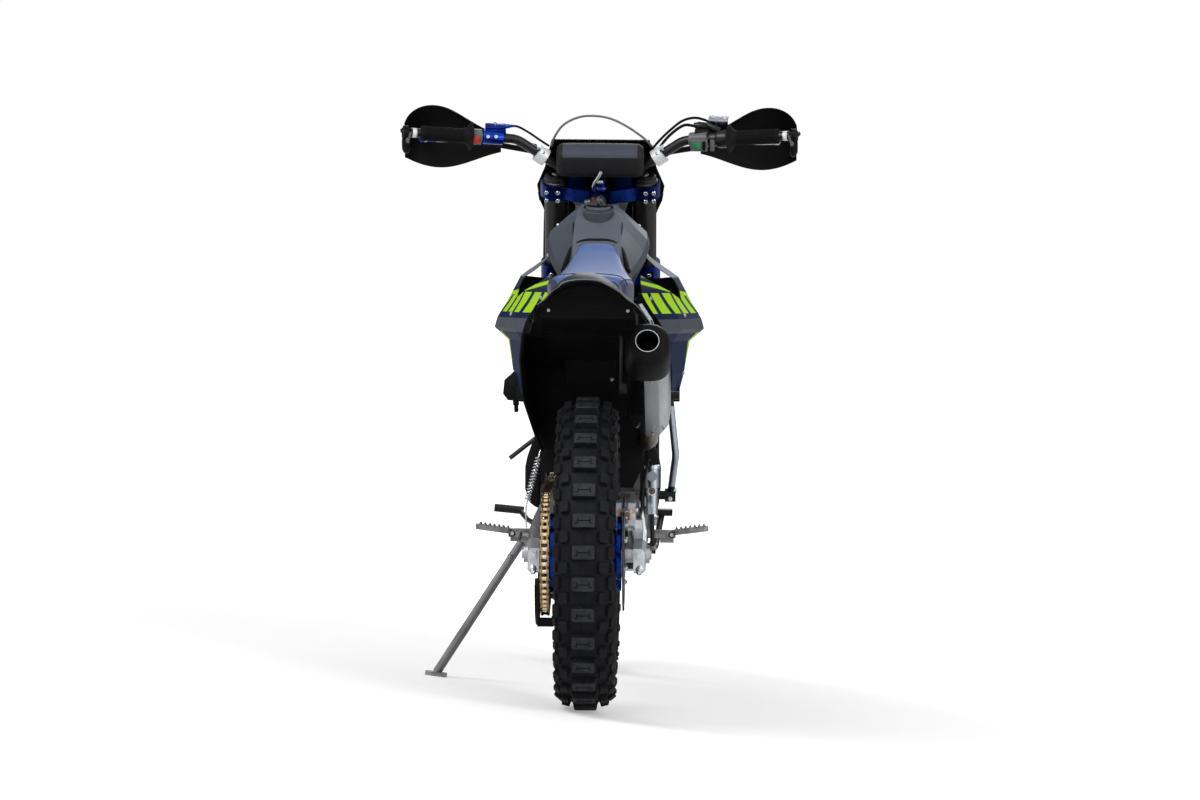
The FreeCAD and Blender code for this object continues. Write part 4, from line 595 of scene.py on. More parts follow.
def spoked_hub(name, matrix, body, node, profile, flange_x, flange_r, rim_x, rim_r, carriers=()):
    """A turned hub with round spokes laced to the rim and their nipples."""
    metal = []
    step = 2 * math.pi / SPOKES
    for side in (-1, 1):
        for k in range(SPOKES):
            lean = 1 if k % 2 else -1
            angle = math.pi - (k + 0.25 * side) * step
            start = on_wheel(side * (flange_x + lean * 3.0), flange_r, angle)
            end = on_wheel(side * rim_x, rim_r, angle - lean * 1.9 * step)
            metal += [sweep([start, end], 1.9, 6),
                      lathe([(-3, 3.4), (9, 3.2), (11, 2.4), (19, 2.2)], end, start - end, 6)]
    piece(name, [lathe(profile, (0, 0, 0), (1, 0, 0), 48), *carriers], "blue_bright", body, matrix,
          replaces=(node,), slot=node + "_blue")
    piece(name + "_spokes", metal, "silver_brushed", body, matrix)


def carrier(x0, x1, outer, inner):
    """A flange round the axle with six scallops."""
    rows = ((x0, -1.5), (x0 + 1.5, 0), (x1 - 1.5, 0), (x1, -1.5))
    return loft([[on_wheel(x, inner + (outer - inner) * (0.5 + 0.5 * math.cos(a * 6)) ** 0.45 + grow, a)
                  for a in turns(48)] for x, grow in rows])


def ring_bolts(x, side, radius, size):
    """Six bolts round the axle, seen from one side."""
    return [hex_bolt(on_wheel(x, radius, a), (side, 0, 0), size) for a in turns(6)]


def wheels():
    """The hubs with their spokes and bolts."""
    profile = [(-76, 30), (-76, 52), (-72, 54), (-66, 54), (-64, 44), (-46, 42), (-44, 46), (-38, 46),
               (-36, 33), (0, 28), (36, 33), (38, 46), (44, 46), (46, 38), (66, 40), (68, 54), (73, 54),
               (73, 24)]
    spoked_hub("rear_hub_turned", REAR, "rear_wheel", "rear_hub", profile, 41, 42, 9, 210,
               [carrier(-78, -64, 86, 66), carrier(64, 74, 80, 60)])
    profile = [(-68, 22), (-68, 26), (-62, 27), (-56, 48), (-51, 48), (-49, 30), (-38, 36), (-33, 36),
               (-30, 26), (0, 23), (30, 26), (33, 36), (38, 36), (42, 26), (68, 22), (68, 16)]
    spoked_hub("front_hub_turned", FRONT, "front_wheel", "front_hub", profile, 35.5, 32, 6, 250)
    bolts = ring_bolts(-64, 1, 74, 6.5) + ring_bolts(-90, -1, 74, 6.0) + ring_bolts(82, 1, 60, 5.0)
    piece("rear_hub_bolts", bolts, "steel", "rear_wheel", REAR)
    piece("front_hub_bolts", ring_bolts(-60.2, -1, 46, 4.5), "steel", "front_wheel", FRONT)


# Chain

CHAIN_X = -87.0
PITCH = 15.875
BIG_TEETH = 50
SMALL_TEETH = 13
BIG_R = PITCH / (2 * math.sin(math.pi / BIG_TEETH))
SMALL_R = PITCH / (2 * math.sin(math.pi / SMALL_TEETH))
DRIVE = Vector((CHAIN_X, 650, 445))


def chain_line():
    """The joints of the chain, on the same pitch line as in the CAD."""
    centre = Vector((CHAIN_X, 0, REAR_Z))
    span = DRIVE - centre
    slope = math.atan2(span.z, span.y)
    wedge = math.asin((BIG_R - SMALL_R) / span.length)
    run = span.length * math.cos(wedge)
    small_arc = SMALL_R * (math.pi - 2 * wedge)
    total = 2 * run + BIG_R * (math.pi + 2 * wedge) + small_arc
    links = 2 * int(round(total / PITCH / 2))
    upper = slope + math.pi / 2 - wedge
    lower = slope - math.pi / 2 + wedge

    def on(middle, r, a, ahead=0.0):
        y, z = math.cos(a), math.sin(a)
        return middle + Vector((0, y, z)) * r + Vector((0, z, -y)) * ahead

    points = []
    for k in range(links):
        d = (k + 0.5) * total / links
        if d < run:
            points.append(on(centre, BIG_R, upper, d))
        elif d < run + small_arc:
            points.append(on(DRIVE, SMALL_R, upper - (d - run) / SMALL_R))
        elif d < 2 * run + small_arc:
            points.append(on(DRIVE, SMALL_R, lower, d - run - small_arc))
        else:
            points.append(on(centre, BIG_R, lower - (d - 2 * run - small_arc) / BIG_R))
    return points


def link_plate(p, q, x, thick, height):
    """A waisted side plate between two joints."""
    along = (q - p).normalized()
    up = Vector((0, -along.z, along.y))
    middle = (p + q) / 2
    waist = up * height * 0.72

    def end(at, start):
        return [at + (along * math.cos(a) + up * math.sin(a)) * height
                for a in (start + math.pi * k / 6 for k in range(7))]

    outline = [*end(p, math.pi / 2), middle - waist, *end(q, -math.pi / 2), middle + waist]
    return loft([[v + Vector((at, 0, 0)) for v in outline] for at in (x - thick / 2, x + thick / 2)])


def chain():
    """Side plates in two widths by turns, with their rollers and pins."""
    joints = chain_line()
    plates, rollers = [], []
    for k, p in enumerate(joints):
        gap = 5.4 if k % 2 else 7.9
        plates += [link_plate(p, joints[(k + 1) % len(joints)], side * gap, 2.2, 7.1) for side in (-1, 1)]
        rollers += [lathe([(-4.4, 5.0), (4.4, 5.0)], p, (1, 0, 0), 12),
                    lathe([(-9.6, 2.0), (-9.2, 2.7), (9.2, 2.7), (9.6, 2.0)], p, (1, 0, 0), 8)]
    piece("chain_plates", plates, "gold", replaces=("chain",), slot="chain_gold")
    piece("chain_rollers", rollers, "roller_gold")


# Handlebar and controls, in the steering frame (x, u, s)

LEFT, RIGHT = -1, 1
KNEE = Vector((190, 18, 1017))
BAR_END = Vector((430, -34, 1056))
RISE = Vector((84, 12, 943))
RUN = (BAR_END - KNEE).normalized()


def on_bar(x):
    return KNEE + (BAR_END - KNEE) * ((x - KNEE.x) / (BAR_END.x - KNEE.x))


def grips():
    """Ribbed grips, the white ends of the bar and the guards' outer caps."""
    profile = [(0, 12), (0, 30.5), (1.5, 32.2), (3.5, 31.5), (6, 25), (10, 20.5), (16, 18)]
    for k in range(32):
        along = 19 + 2.9 * k
        profile += [(along, 16.9), (along + 0.9, 17.3), (along + 1.5, 16.2), (along + 2.1, 16.2)]
    profile += [(113, 17.6), (116, 17.2), (117.5, 15.0), (117.5, 10.0)]
    steered("grip_rubbers", both([lathe(profile, on_bar(293), RUN, 40)]), "grip_black", replaces=("grips",),
            slot="grip_rubber")
    bar_end = lathe([(0, 9.0), (1, 11.0), (15, 11.4), (18, 9.5), (19, 5.0)], on_bar(411), RUN, 24)
    cap = loft([[(x, -36 + 13 * share * math.cos(a), 1028 + 24 * share * math.sin(a)) for a in turns(20)]
                for x, share in ((432, 0.75), (435, 0.98), (441, 1.0), (446, 0.82), (449, 0.5))])
    link = sweep(curve([(428, -40, 1060), (434, -44, 1048), (437, -42, 1030), (436, -30, 1012)], 5), 4.6, 8)
    for sign, side in ((RIGHT, "right"), (LEFT, "left")):
        sided(side + "_bar_end", [bar_end], "white_metal", sign)
        sided(side + "_guard_cap", [cap], "black_plastic", sign, angle=50)
        sided(side + "_guard_link", [link], "switch_grey", sign)


def ring_clamp(x0, x1, radius):
    """A clamp round the bar between two distances from the middle plane."""
    start = on_bar(x0)
    length = (on_bar(x1) - start).length
    return lathe([(0, 11), (0, radius - 1.5), (1.5, radius), (length - 1.5, radius), (length, radius - 1.5),
                  (length, 11)], start, RUN, 28)


def bent_lever(points, wide, thick):
    """A flattened lever blade along a smooth line, ending in a ball."""
    line = curve(points, 8)
    last = len(line) - 1
    loops = []
    for i, (p, t) in enumerate(zip(line, tangents(line))):
        a = (Vector((0, 0, 1)) - t * t.z).normalized()
        b = t.cross(a)
        share = 1.0 if i < last - 5 else 1.0 + 0.35 * math.sin(math.pi * (i - last + 6) / 7)
        if i in (0, last):
            share *= 0.45
        loops.append([p + (a * wide * math.sin(k) + b * thick * math.cos(k)) * share for k in turns(12)])
    return loft(loops)


def controls():
    """The hand controls, and the hand guards' clamps near the bar's bends."""
    lever_line = [(246, 38, 1026), (264, 47, 1018), (296, 49, 1005), (340, 46, 1000), (385, 40, 1003),
                  (410, 36, 1007)]
    pivot = lathe([(-7, 6.0), (-6, 7.5), (6, 7.5), (7, 6.0)], (244, 34, 1030), (0, 0, 1), 20)
    arm = loft([[(x0, u, s0), (x1, u, s0), (x1, u, s1), (x0, u, s1)]
                for x0, x1, u, s0, s1 in ((214, 262, 8, 1030, 1044), (216, 260, 30, 1032, 1045),
                                          (232, 258, 46, 1034, 1043))])
    tip_line = [(372, 41.5, 1002), (392, 39, 1004), (414, 35, 1008)]
    lid_bolts = [cap_bolt((x, u, 1069), (0, 0, 1), 3.2) for x, u in ((256, 34), (283, 31))]
    lid_bolts += [cap_bolt((262, u, s), (0, -1, 0), 3.6) for u, s in ((14, 1056), (12, 1042))]
    for sign, name, mat, more, parts in (
            (LEFT, "clutch_perch", "blue_bright", {"bevel": 1.2},
             [ring_clamp(222, 268, 16.2), arm, block(214, 262, 12, 34, 1044, 1049)]),
            (LEFT, "clutch_perch_bolts", "silver_brushed", {},
             [*[cap_bolt((x, -12, 1036), (0, -0.8, 0.6), 4.2) for x in (236, 254)], pivot,
              cap_bolt((240, 26, 1049), (0, 0, 1), 4.0)]),
            (LEFT, "clutch_lever", "silver_brushed",
             {"replaces": ("hand_controls",), "slot": "hand_controls_metal"},
             [bent_lever(lever_line, 6.2, 3.6)]),
            (LEFT, "clutch_lever_tip", "blue_bright", {}, [bent_lever(tip_line, 6.8, 4.2)]),
            (LEFT, "clutch_adjuster", "blue_bright", {},
             [lathe([(0, 3.4), (3, 5.0), (9, 5.0), (10, 3.6), (18, 3.4)], (216, 20, 1047),
                    (-1, 0.1, 0.05), 14)]),
            (LEFT, "kill_switch", "switch_grey", {"bevel": 1.4},
             [ring_clamp(270, 291, 17.2), block(270, 292, -22, -8, 1020, 1044)]),
            (LEFT, "kill_button", "red_plastic", {"bevel": 2.0}, [block(273, 289, -28, -20, 1026, 1042)]),
            (RIGHT, "throttle_housing", "black_gloss", {"bevel": 0.8},
             [ring_clamp(268, 292, 21.5),
              lathe([(0, 8), (16, 8), (18, 6), (34, 5.4)], (272, 4, 1048), (-0.85, 0.3, 0.35), 16)]),
            (RIGHT, "brake_master", "black_gloss", {"bevel": 2.0},
             [ring_clamp(250, 268, 17.4), arm,
              prism([(246, 20), (288, 16), (290, 46), (250, 50)], "z", 1040, 1064),
              lathe([(0, 9), (30, 9), (34, 7), (40, 6)], (252, 34, 1044), (-1, 0, 0.1), 16)]),
            (RIGHT, "brake_master_lid", "silver_cast", {"bevel": 0.8},
             [prism([(245, 18), (289, 14), (292, 48), (249, 52)], "z", 1064, 1069), *lid_bolts]),
            (RIGHT, "brake_lever", "silver_brushed", {}, [bent_lever(lever_line, 6.4, 3.8), pivot]),
            (RIGHT, "starter_switch", "switch_grey", {"bevel": 1.6},
             [ring_clamp(204, 246, 17.8), block(206, 244, -22, -6, 1008, 1036),
              block(250, 260, -20, -8, 1008, 1034)]),
            (RIGHT, "starter_button", "green_plastic", {"bevel": 1.8},
             [block(212, 229, -27, -20, 1016, 1031)]),
            (RIGHT, "starter_rocker", "black_plastic", {"bevel": 1.0},
             [block(233, 240, -26, -20, 1012, 1034)])):
        sided(name, parts, mat, sign, **more)

    along = (KNEE - RISE).normalized()
    at = RISE + (KNEE - RISE) * 0.47
    ear = ((-7, 20.5), (7, 20.5), (7, 10), (-7, 10))
    clamp = [lathe([(-13, 11), (-13, 18.0), (-11.5, 20.2), (11.5, 20.2), (13, 18.0), (13, 11)], at, along,
                   28),
             loft([[at + along * k + Vector((0, u, s)) for u, s in ear] for k in (-12, 12)])]
    bolts = [cap_bolt(at + along * k + Vector((0, -12, 15)), (0, -0.6, 0.8), 3.4) for k in (-6, 6)]
    for sign, side in ((RIGHT, "right"), (LEFT, "left")):
        sided(side + "_guard_clamp", clamp, "white_metal", sign, angle=40)
        sided(side + "_guard_clamp_bolts", bolts, "dark_steel", sign)


def pad():
    """The foam pad over the middle of the bar: a bevelled block with seams on its face."""
    middle_u, middle_s, face_u = 4, 972, -24.4
    half = [(0, 1.02), (60, 1.015), (84, 1.0), (90, 0.97), (97, 0.86), (100, 0.72)]
    outline = [(-24, 940), (-12, 937.5), (8, 937), (26, 938.5), (31, 944), (33.5, 966), (33, 992), (28, 1001),
               (16, 1010), (2, 1010), (-12, 1006), (-22, 1000), (-26, 990), (-26, 966)]
    loops = [[(x, middle_u + (u - middle_u) * share, middle_s + (s - middle_s) * share) for u, s in outline]
             for x, share in [(-x, share) for x, share in reversed(half[1:])] + half]
    cushion = steered("bar_pad_cover", loft(loops), pad_vinyl(), angle=60, subdiv=1, replaces=("bar_pad",),
                      slot="pad_foam")
    seams = [[(x, face_u, s) for x in (-78, -40, 0, 40, 78)] for s in (946, 984)]
    seams += [[(x, face_u, s) for s in (946, 965, 984)] for x in (-78, 78)]
    steered("bar_pad_seams", [sweep(line, 0.8, 6) for line in seams], "rubber")


def pad_vinyl():
    """Slate vinyl over the top of the pad and black vinyl on its rear face and ends."""
    n = Nodes("pad_vinyl")
    patches = n.noise(20.0, 4.0)
    x, _, z = n.xyz(n.place())
    top = n.times(n.span(z, 1.192, 1.1935), n.span(n.math("ABSOLUTE", x), 0.0845, 0.0855, 1.0, 0.0))
    slate = n.mix(patches, (0.042, 0.049, 0.066), (0.056, 0.064, 0.084))
    black = n.mix(patches, (0.005, 0.005, 0.006), (0.009, 0.009, 0.01))
    return n.coat(n.mix(top, black, slate), n.noise(1400.0), (0.5, 0.66), 0.35, 0.0005, (0.3, 0.7),
                  Specular_IOR_Level=0.25)


def cable_runs():
    """Hoses and cables that are held at both ends on the steered pieces."""
    for name, mat, radius, replaces, points in (
            ("throttle_cable", "rubber", 3.0, (),
             [(252, 20, 1060), (234, 26, 1066), (212, 34, 1066), (186, 42, 1054), (160, 46, 1030),
              (134, 50, 1000), (112, 56, 968)]),
            ("brake_hose", "rubber", 3.4, (),
             [(212, 34, 1046), (190, 40, 1044), (164, 46, 1022), (140, 52, 990), (122, 58, 950)]),
            ("clutch_cable", "rubber", 2.6, (),
             [(-206, 20, 1048), (-188, 26, 1044), (-164, 34, 1026), (-140, 42, 1004), (-118, 50, 984)]),
            ("kill_wire", "rubber", 2.0, (),
             [(-196, 10, 1012), (-176, 24, 1006), (-150, 32, 996), (-124, 44, 980)]),
            ("arc_cable", "cable_grey", 2.7, ("cables",),
             [(-112, 50, 984), (-104, 44, 1012), (-84, 42, 1042), (-50, 40, 1062), (-14, 40, 1066),
              (24, 42, 1058), (60, 44, 1038), (96, 46, 1010), (118, 50, 984)])):
        steered(name, sweep(curve(points, 7), radius), mat, replaces=replaces, slot="cable_black")


def yoke_details():
    """Fork caps, pinch bolts, riser caps, stem nut, key switch and the breather hose."""
    top = 909
    up, back = (0, 0, 1), (0, -1, 0)
    bolts, caps = [], []
    for sx in (-1, 1):
        x = 100 * sx
        caps.append(lathe([(0, 30), (0, 31), (3, 31), (5, 28), (13, 27), (14, 24), (14, 12), (16, 12),
                           (16, 6)], (x, 22, top + 1), up, 28))
        bolts += [lathe([(0, 11), (5, 11), (6, 9), (6, 4), (9, 4), (9, 3)], (x, 22, top + 15), up, 16),
                  hex_bolt((x + 10 * sx, 8, top + 14), up, 3.2, False)]
        for s in (883, 903):
            bolts += [cap_bolt((x + 4, -26, s), back, 5.4), cap_bolt((x + 22 * sx, -24, s), back, 5.0)]
        bolts += [cap_bolt((x + 12 * sx, -26, s), back, 5.2) for s in (670, 694)]
        bolts += [cap_bolt((54 * sx + shift, u, 963), up, 4.6) for u in (-4, 28) for shift in (-10, 10)]
    steered("fork_caps", caps, "dark_steel")
    steered("yoke_bolts", bolts, "silver_brushed")
    steered("stem_nut", hex_bolt((0, 0, top), up, 17), "silver_brushed")
    steered("key_switch", [
        lathe([(0, 13), (0, 15), (24, 15), (26, 13), (26, 9), (30, 9)], (-14, -34, 884),
              (0.75, -0.5, 0.35), 20),
        lathe([(-6, 11), (34, 11), (36, 9)], (-28, -32, 880), (1, -0.1, 0.2), 18),
        block(-30, 18, -30, -16, 868, 886)], "dark_steel", bevel=1.0)
    steered("key_tag", block(-18, -6, -46, -36, 892, 899), "red_plastic", bevel=1.5)
    hose = curve([(-14, -20, 908), (-16, -26, 920), (-11, -32, 934), (-3, -32, 948), (3, -30, 960)], 6)
    steered("breather_hose", sweep(hose, 4.2, 12), "silver_brushed")


# Seat, tank and body panels, in the upright frame

SEAT_STATIONS = [(-115, 66, 914, 890), (-111, 71, 921, 884), (-93, 80, 930, 880), (-30, 86, 930, 874),
                 (60, 90, 930, 870), (250, 91, 928, 865), (430, 83, 934, 869), (560, 68, 952, 889),
                 (670, 55, 978, 922), (700, 50, 992, 938), (714, 45, 996, 950), (720, 38, 990, 956)]


def seat_loop(y, w, t, b):
    """One section of the seat: flat underneath, straight sides, a soft edge and a crowned top."""
    half = [(0.5 * w, b), (w - 4, b), (w, b + 3), (w + 0.5, b + 0.5 * (t - 20 - b)), (w + 1, t - 21),
            (0.985 * w, t - 15), (0.945 * w, t - 9.5), (0.88 * w, t - 5.4), (0.78 * w, t - 2.2),
            (0.62 * w, t), (0.4 * w, t + 1.2), (0.2 * w, t + 1.8)]
    loop = [(0.0, b), *half, (0.0, t + 2.0), *[(-x, z) for x, z in reversed(half)]]
    return [(x, y, z) for x, z in loop]


def seat():
    """The soft cover, skinned along smooth lines through the sections' corners, with seams and piping."""
    tracks = [curve(line, 6) for line in zip(*[seat_loop(*station) for station in SEAT_STATIONS])]
    loops = list(zip(*tracks))
    cushion = piece("seat_cover", loft(loops), seat_vinyl(), subdiv=1, angle=70, replaces=("seat",),
                    slot="seat_cover")
    seams = [tracks[7][6:-2], tracks[19][6:-2], [p + Vector((0, 0, 0.4)) for p in loops[13][5:22]]]
    piece("seat_seams", [sweep(line, 1.5, 8) for line in seams], "seam_navy")
    # The piping along the seat's lower rear lip is a lighter navy than the seat: a painted highlight.
    piece("seat_piping", sweep([p + Vector((0, 0, 0.6)) for p in loops[4][3:24]], 2.0, 8), "piping_painted_highlight")


def seat_vinyl():
    """Navy vinyl: a fine grain, a ribbed gripping top painted lighter where its faces look up, as sky light,
    and smooth, darker sides.
    """
    n = Nodes("seat_vinyl")
    patches = n.noise(9.0, 4.0)
    grain = n.noise(900.0)
    # Painted light: faces that look up take a lighter navy, as if lit by the sky; the same mask places the
    # ribs.
    top = n.span(n.xyz(n.coord["Normal"])[2], 0.35, 0.8)
    ribs = n.math("SINE", n.times(n.xyz(n.place())[1], 1250.0))
    side = n.mix(patches, (0.012, 0.02, 0.06), (0.018, 0.03, 0.08))
    upper = n.mix(patches, (0.066, 0.125, 0.33), (0.084, 0.155, 0.39))
    n.set(Base_Color=n.mix(top, side, upper), Roughness=n.span(grain, 0.3, 0.7, 0.42, 0.6), Sheen_Weight=0.15,
          Sheen_Roughness=0.4)
    n.relief(n.plus(n.times(grain, 0.35), n.times(n.times(top, n.span(ribs, -0.4, 0.7)), 0.65)), 0.35, 0.0005)
    return n.mat


def tank_plastic():
    """Moulded slate plastic, painted paler on the faces that look up as light from above, and rubbed on its
    shoulders.
    """
    n = Nodes("tank_plastic")
    patches = n.noise(13.0, 4.0)
    smear = n.noise(45.0, 5.0, 0.65, (1, 0.3, 1))
    side = n.mix(patches, (0.034, 0.041, 0.053), (0.046, 0.055, 0.069))
    top = n.mix(patches, (0.088, 0.107, 0.136), (0.108, 0.129, 0.16))
    # Painted light: faces that look up are paler, as if lit from above.
    colour = n.mix(n.span(n.xyz(n.coord["Normal"])[2], 0.25, 0.75), side, top)
    colour = n.mix(n.span(smear, 0.55, 0.75, 0.0, 0.25), colour, (0.03, 0.034, 0.04))
    return n.coat(colour, n.noise(1500.0), (0.42, 0.58), 0.4, Specular_IOR_Level=0.35)


def tank_cover():
    """The tank's plastic and trim, its filler cap and screws."""
    put_on("fuel_tank", tank_plastic())
    nose = [(-72, 640, 936), (-63, 680, 964), (-52, 713, 988), (-30, 729, 1001), (0, 731, 1003),
            (30, 729, 1001), (52, 713, 988), (63, 680, 964), (72, 640, 936)]
    piece("tank_nose_trim", sweep(curve(nose, 6), 6.5), "black_plastic")
    creases = [curve([(54 * sx, 745, 1012), (55 * sx, 800, 1042), (49 * sx, 900, 1070), (42 * sx, 955, 1082)],
                     5) for sx in (-1, 1)]
    piece("tank_creases", [sweep(crease, 1.3, 6) for crease in creases], "black_plastic")
    y, z = 852, 1078
    cap = [lathe([(0, 30), (2, 31), (5, 30.5), (6.5, 27), (7, 20), (5.5, 19)], (0, y, z), (0, -0.02, 1), 36),
           block(-3, 3, y - 17, y + 17, z + 4, z + 8.5)]
    knob = [(0, 3.2), (5.2, 3.2), (5.8, 2.2)]
    cap += [lathe(knob, (30 * math.cos(a), y + 30 * math.sin(a), z), (0, 0, 1), 8) for a in turns(12)]
    piece("filler_cap", cap, "black_plastic", angle=40)
    screws = [seated_bolt("fuel_tank", (110 * sx, 900, 1060), 3.4) for sx in (-1, 1)]
    piece("tank_screws", screws, "silver_brushed")


LIME = (0.36, 0.66, 0.012), (0.46, 0.78, 0.02)
NAVY = (0.006, 0.012, 0.045), (0.01, 0.02, 0.07)
BAR_PITCH = 0.078


def shroud_plastic():
    """Grey plastic arms and rims, a flank printed in navy with slanted lime bars, and a navy lower panel."""
    n = Nodes("shroud_plastic")
    x, y, z = n.xyz(n.place())
    patches = n.noise(16.0, 4.0)
    lime = n.mix(patches, *LIME)
    navy = n.mix(patches, *NAVY)
    bars = n.above(n.math("FRACT", n.times(n.plus(y, n.times(z, 1.1)), 1.0 / BAR_PITCH)), 0.3)
    flash = n.band(n.plus(z, n.times(n.math("ABSOLUTE", x), 0.28)), 0.936, 0.944)
    lower = n.below(z, 0.797)
    colour = n.mix(n.math("MAXIMUM", n.times(n.band(z, 0.842, 0.888), bars), flash), navy, lime)
    for share, over in (
            (n.above(z, 0.897), n.mix(patches, (0.02, 0.027, 0.042), (0.03, 0.038, 0.056))),
            (n.times(flash, n.band(z, 0.888, 0.93)), lime),
            (n.above(z, 0.922), n.mix(patches, (0.15, 0.175, 0.195), (0.21, 0.24, 0.26))),
            (n.below(z, 0.829), n.mix(patches, (0.07, 0.078, 0.095), (0.09, 0.098, 0.115))),
            (lower, navy), (n.times(lower, n.above(y, 1.012)), lime)):
        colour = n.mix(share, colour, over)
    # Painted shade: faces that look towards the middle plane are near black.
    colour = n.mix(n.outward(), n.mix(patches, (0.012, 0.013, 0.015), (0.02, 0.021, 0.024)), colour)
    return n.coat(colour, n.noise(1300.0, 2.0), (0.5, 0.62), 0.06, 0.0003, Specular_IOR_Level=0.05)


def panel_plastic():
    """Light side panels with a navy lower corner and a lime pinstripe, painted black as shade on the inner
    faces.
    """
    n = Nodes("panel_plastic")
    _, y, z = n.xyz(n.place())
    patches = n.noise(12.0, 4.0)
    lean = n.plus(z, n.times(y, -0.42))
    white = n.mix(patches, (0.36, 0.42, 0.48), (0.44, 0.5, 0.56))
    colour = n.mix(n.below(lean, 0.64), white, n.mix(patches, *NAVY))
    colour = n.mix(n.band(lean, 0.64, 0.652), colour, n.mix(patches, *LIME))
    # Painted shade: faces that look towards the middle plane are near black.
    colour = n.mix(n.outward(), n.mix(patches, (0.003, 0.003, 0.0035), (0.005, 0.005, 0.0055)), colour)
    return n.coat(colour, n.noise(1300.0, 2.0), (0.34, 0.48), 0.06, 0.0003, Specular_IOR_Level=0.09)


def fender_plastic():
    """Black plastic, glossier and a little lighter on the faces that look up, and painted near black as shade
    on the faces that look down.
    """
    n = Nodes("fender_plastic")
    patches = n.noise(11.0, 5.0)
    outer = n.mix(patches, (0.02, 0.023, 0.029), (0.03, 0.034, 0.041))
    inner = n.mix(patches, (0.0012, 0.0012, 0.0016), (0.0024, 0.0024, 0.003))
    # Painted shade: faces that look down, under the fender, are near black; faces that look up a lighter
    # black.
    return n.coat(n.mix(n.span(n.xyz(n.coord["Normal"])[2], 0.15, 0.4), inner, outer), n.noise(1400.0, 2.0),
                  (0.36, 0.52), 0.12, Specular_IOR_Level=0.09)


def on_surface(node, at):
    """The place and direction of the CAD node's surface nearest to a point outside it."""
    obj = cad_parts[node]
    into = obj.matrix_world.inverted() @ UP
    _, found, normal, _ = obj.closest_point_on_mesh(into @ Vector(at))
    back = into.inverted()
    return back @ found, (back.to_3x3() @ normal).normalized()


def seated_bolt(node, at, size):
    return hex_bolt(*on_surface(node, at), size)


def body_panels():
    """The printed panels with their bolts, vent ribs, rolled edges and a black wall behind the seat as
    painted shade.
    """
    put_on("shrouds", shroud_plastic())
    put_on("side_panels", panel_plastic())
    put_on("rear_fender front_fender inner_fender", fender_plastic())
    bolts = [seated_bolt("inner_fender", (44, 290, 690), 4.0)]
    for node, x, y, z, size in (("shrouds", 118, 822, 985, 5.5), ("shrouds", 230, 880, 852, 4.5),
                                ("shrouds", 240, 985, 700, 4.5), ("shrouds", 150, 672, 880, 4.5),
                                ("inner_fender", 84, -130, 848, 3.4), ("side_panels", 190, 130, 838, 4.5),
                                ("side_panels", 210, 318, 762, 4.5)):
        bolts += [seated_bolt(node, (x * sx, y, z), size) for sx in (-1, 1)]
    piece("panel_bolts", bolts, "steel")
    # Three vent ribs on each side panel
    ribs = []
    section = ((-1.5, -4), (2, -3), (2, 3), (-1.5, 4))
    tall = Vector((0, 0.34, 0.94))
    for k in (-1, 0, 1):
        seats = [on_surface("side_panels", (170, y, 838 - 0.361 * (y - 60) + 15 * k)) for y in (164, 80)]
        ribs.append(loft([[at + out * rise + tall * up for rise, up in section] for at, out in seats]))
    piece("panel_vents", both(ribs), "black_plastic", bevel=0.8)
    # The rolled edges of the fender; the one at the tail is painted lighter, a highlight where it catches the
    # light
    edge = [(-400, 52, 908), (-340, 70, 896), (-250, 86, 880), (-150, 102, 868), (0, 119, 846),
            (150, 131, 826)]
    piece("fender_edges", [sweep(curve([((w - 0.6) * sx, y, e + 0.6) for y, w, e in edge], 6), 1.5, 8)
                           for sx in (-1, 1)], "black_gloss")
    bead = [(-52 * math.cos(a), -399, 908 + 14 * math.sin(a)) for a in (math.pi * k / 16 for k in range(17))]
    piece("tail_bead", sweep(bead, 1.5, 8), "tail_bead_highlight")
    # A black wall under the fender, behind the seat's rear face, that stands in for the shade under the arch
    w, t, e = 103.0, 909.0, 864.0
    radius = ((t - e) ** 2 + w ** 2) / (2 * (t - e))
    arch = [(x, t - radius + math.sqrt(radius ** 2 - x ** 2)) for x in (w * (k / 10 - 1) for k in range(21))]
    piece("tail_shade_wall", prism([(-w, e - 4), *arch, (w, e - 4)], "y", -121.5, -117.5), "black_plastic")


# Exhaust, engine and hidden sides

CAN_FRONT = Vector((127, 285, 600))
CAN_BACK = Vector((127, -150, 793))
CAN = (CAN_BACK - CAN_FRONT).normalized()
CAN_UP = Vector((0, CAN.z, -CAN.y))
CAN_LENGTH = (CAN_BACK - CAN_FRONT).length


def on_can(along, right, up):
    """A point by its distance from the can's back end and its offsets across the can."""
    return CAN_BACK + CAN * along + Vector((right, 0, 0)) + CAN_UP * up


def can_metal():
    """Brushed metal, dull, with a painted dark reflection on the facets that face the middle plane, and a
    heat-tinted front cone.
    """
    n = Nodes("can_metal")
    along = n.math("SUBTRACT", n.vector_math("DOT_PRODUCT", n.place(), CAN), CAN.dot(CAN_BACK) * MM)
    # Painted dark reflection: facets whose normals point towards the middle plane are darkened to near black.
    painted_dark_reflection = n.span(n.xyz(n.coord["Normal"])[0], -0.3, -0.7)
    silver = n.mix(n.noise(18.0, 5.0), (0.29, 0.3, 0.31), (0.38, 0.39, 0.4))
    heat = n.ramp(n.span(along, -0.475, -0.385), [(0.0, (0.2, 0.14, 0.1)), (0.45, (0.28, 0.22, 0.16)),
                                                  (0.8, (0.33, 0.31, 0.3)), (1.0, (0.36, 0.36, 0.37))])
    colour = n.mix(n.span(along, -0.4, -0.38), heat, silver)
    return n.coat(n.mix(painted_dark_reflection, colour, (0.022, 0.026, 0.033)), n.noise(420.0, stretch=(1, 0.05, 0.12)),
                  (0.24, 0.4), 0.18, 0.0003, (0.2, 0.8), Metallic=1.0)


def rounded(along, w, h, right=0.0):
    """A loop across the can between an ellipse and a rectangle."""
    return [on_can(along, right + math.copysign(abs(math.cos(t)) ** 0.7, math.cos(t)) * w,
                   math.copysign(abs(math.sin(t)) ** 0.7, math.sin(t)) * h) for t in turns(48)]


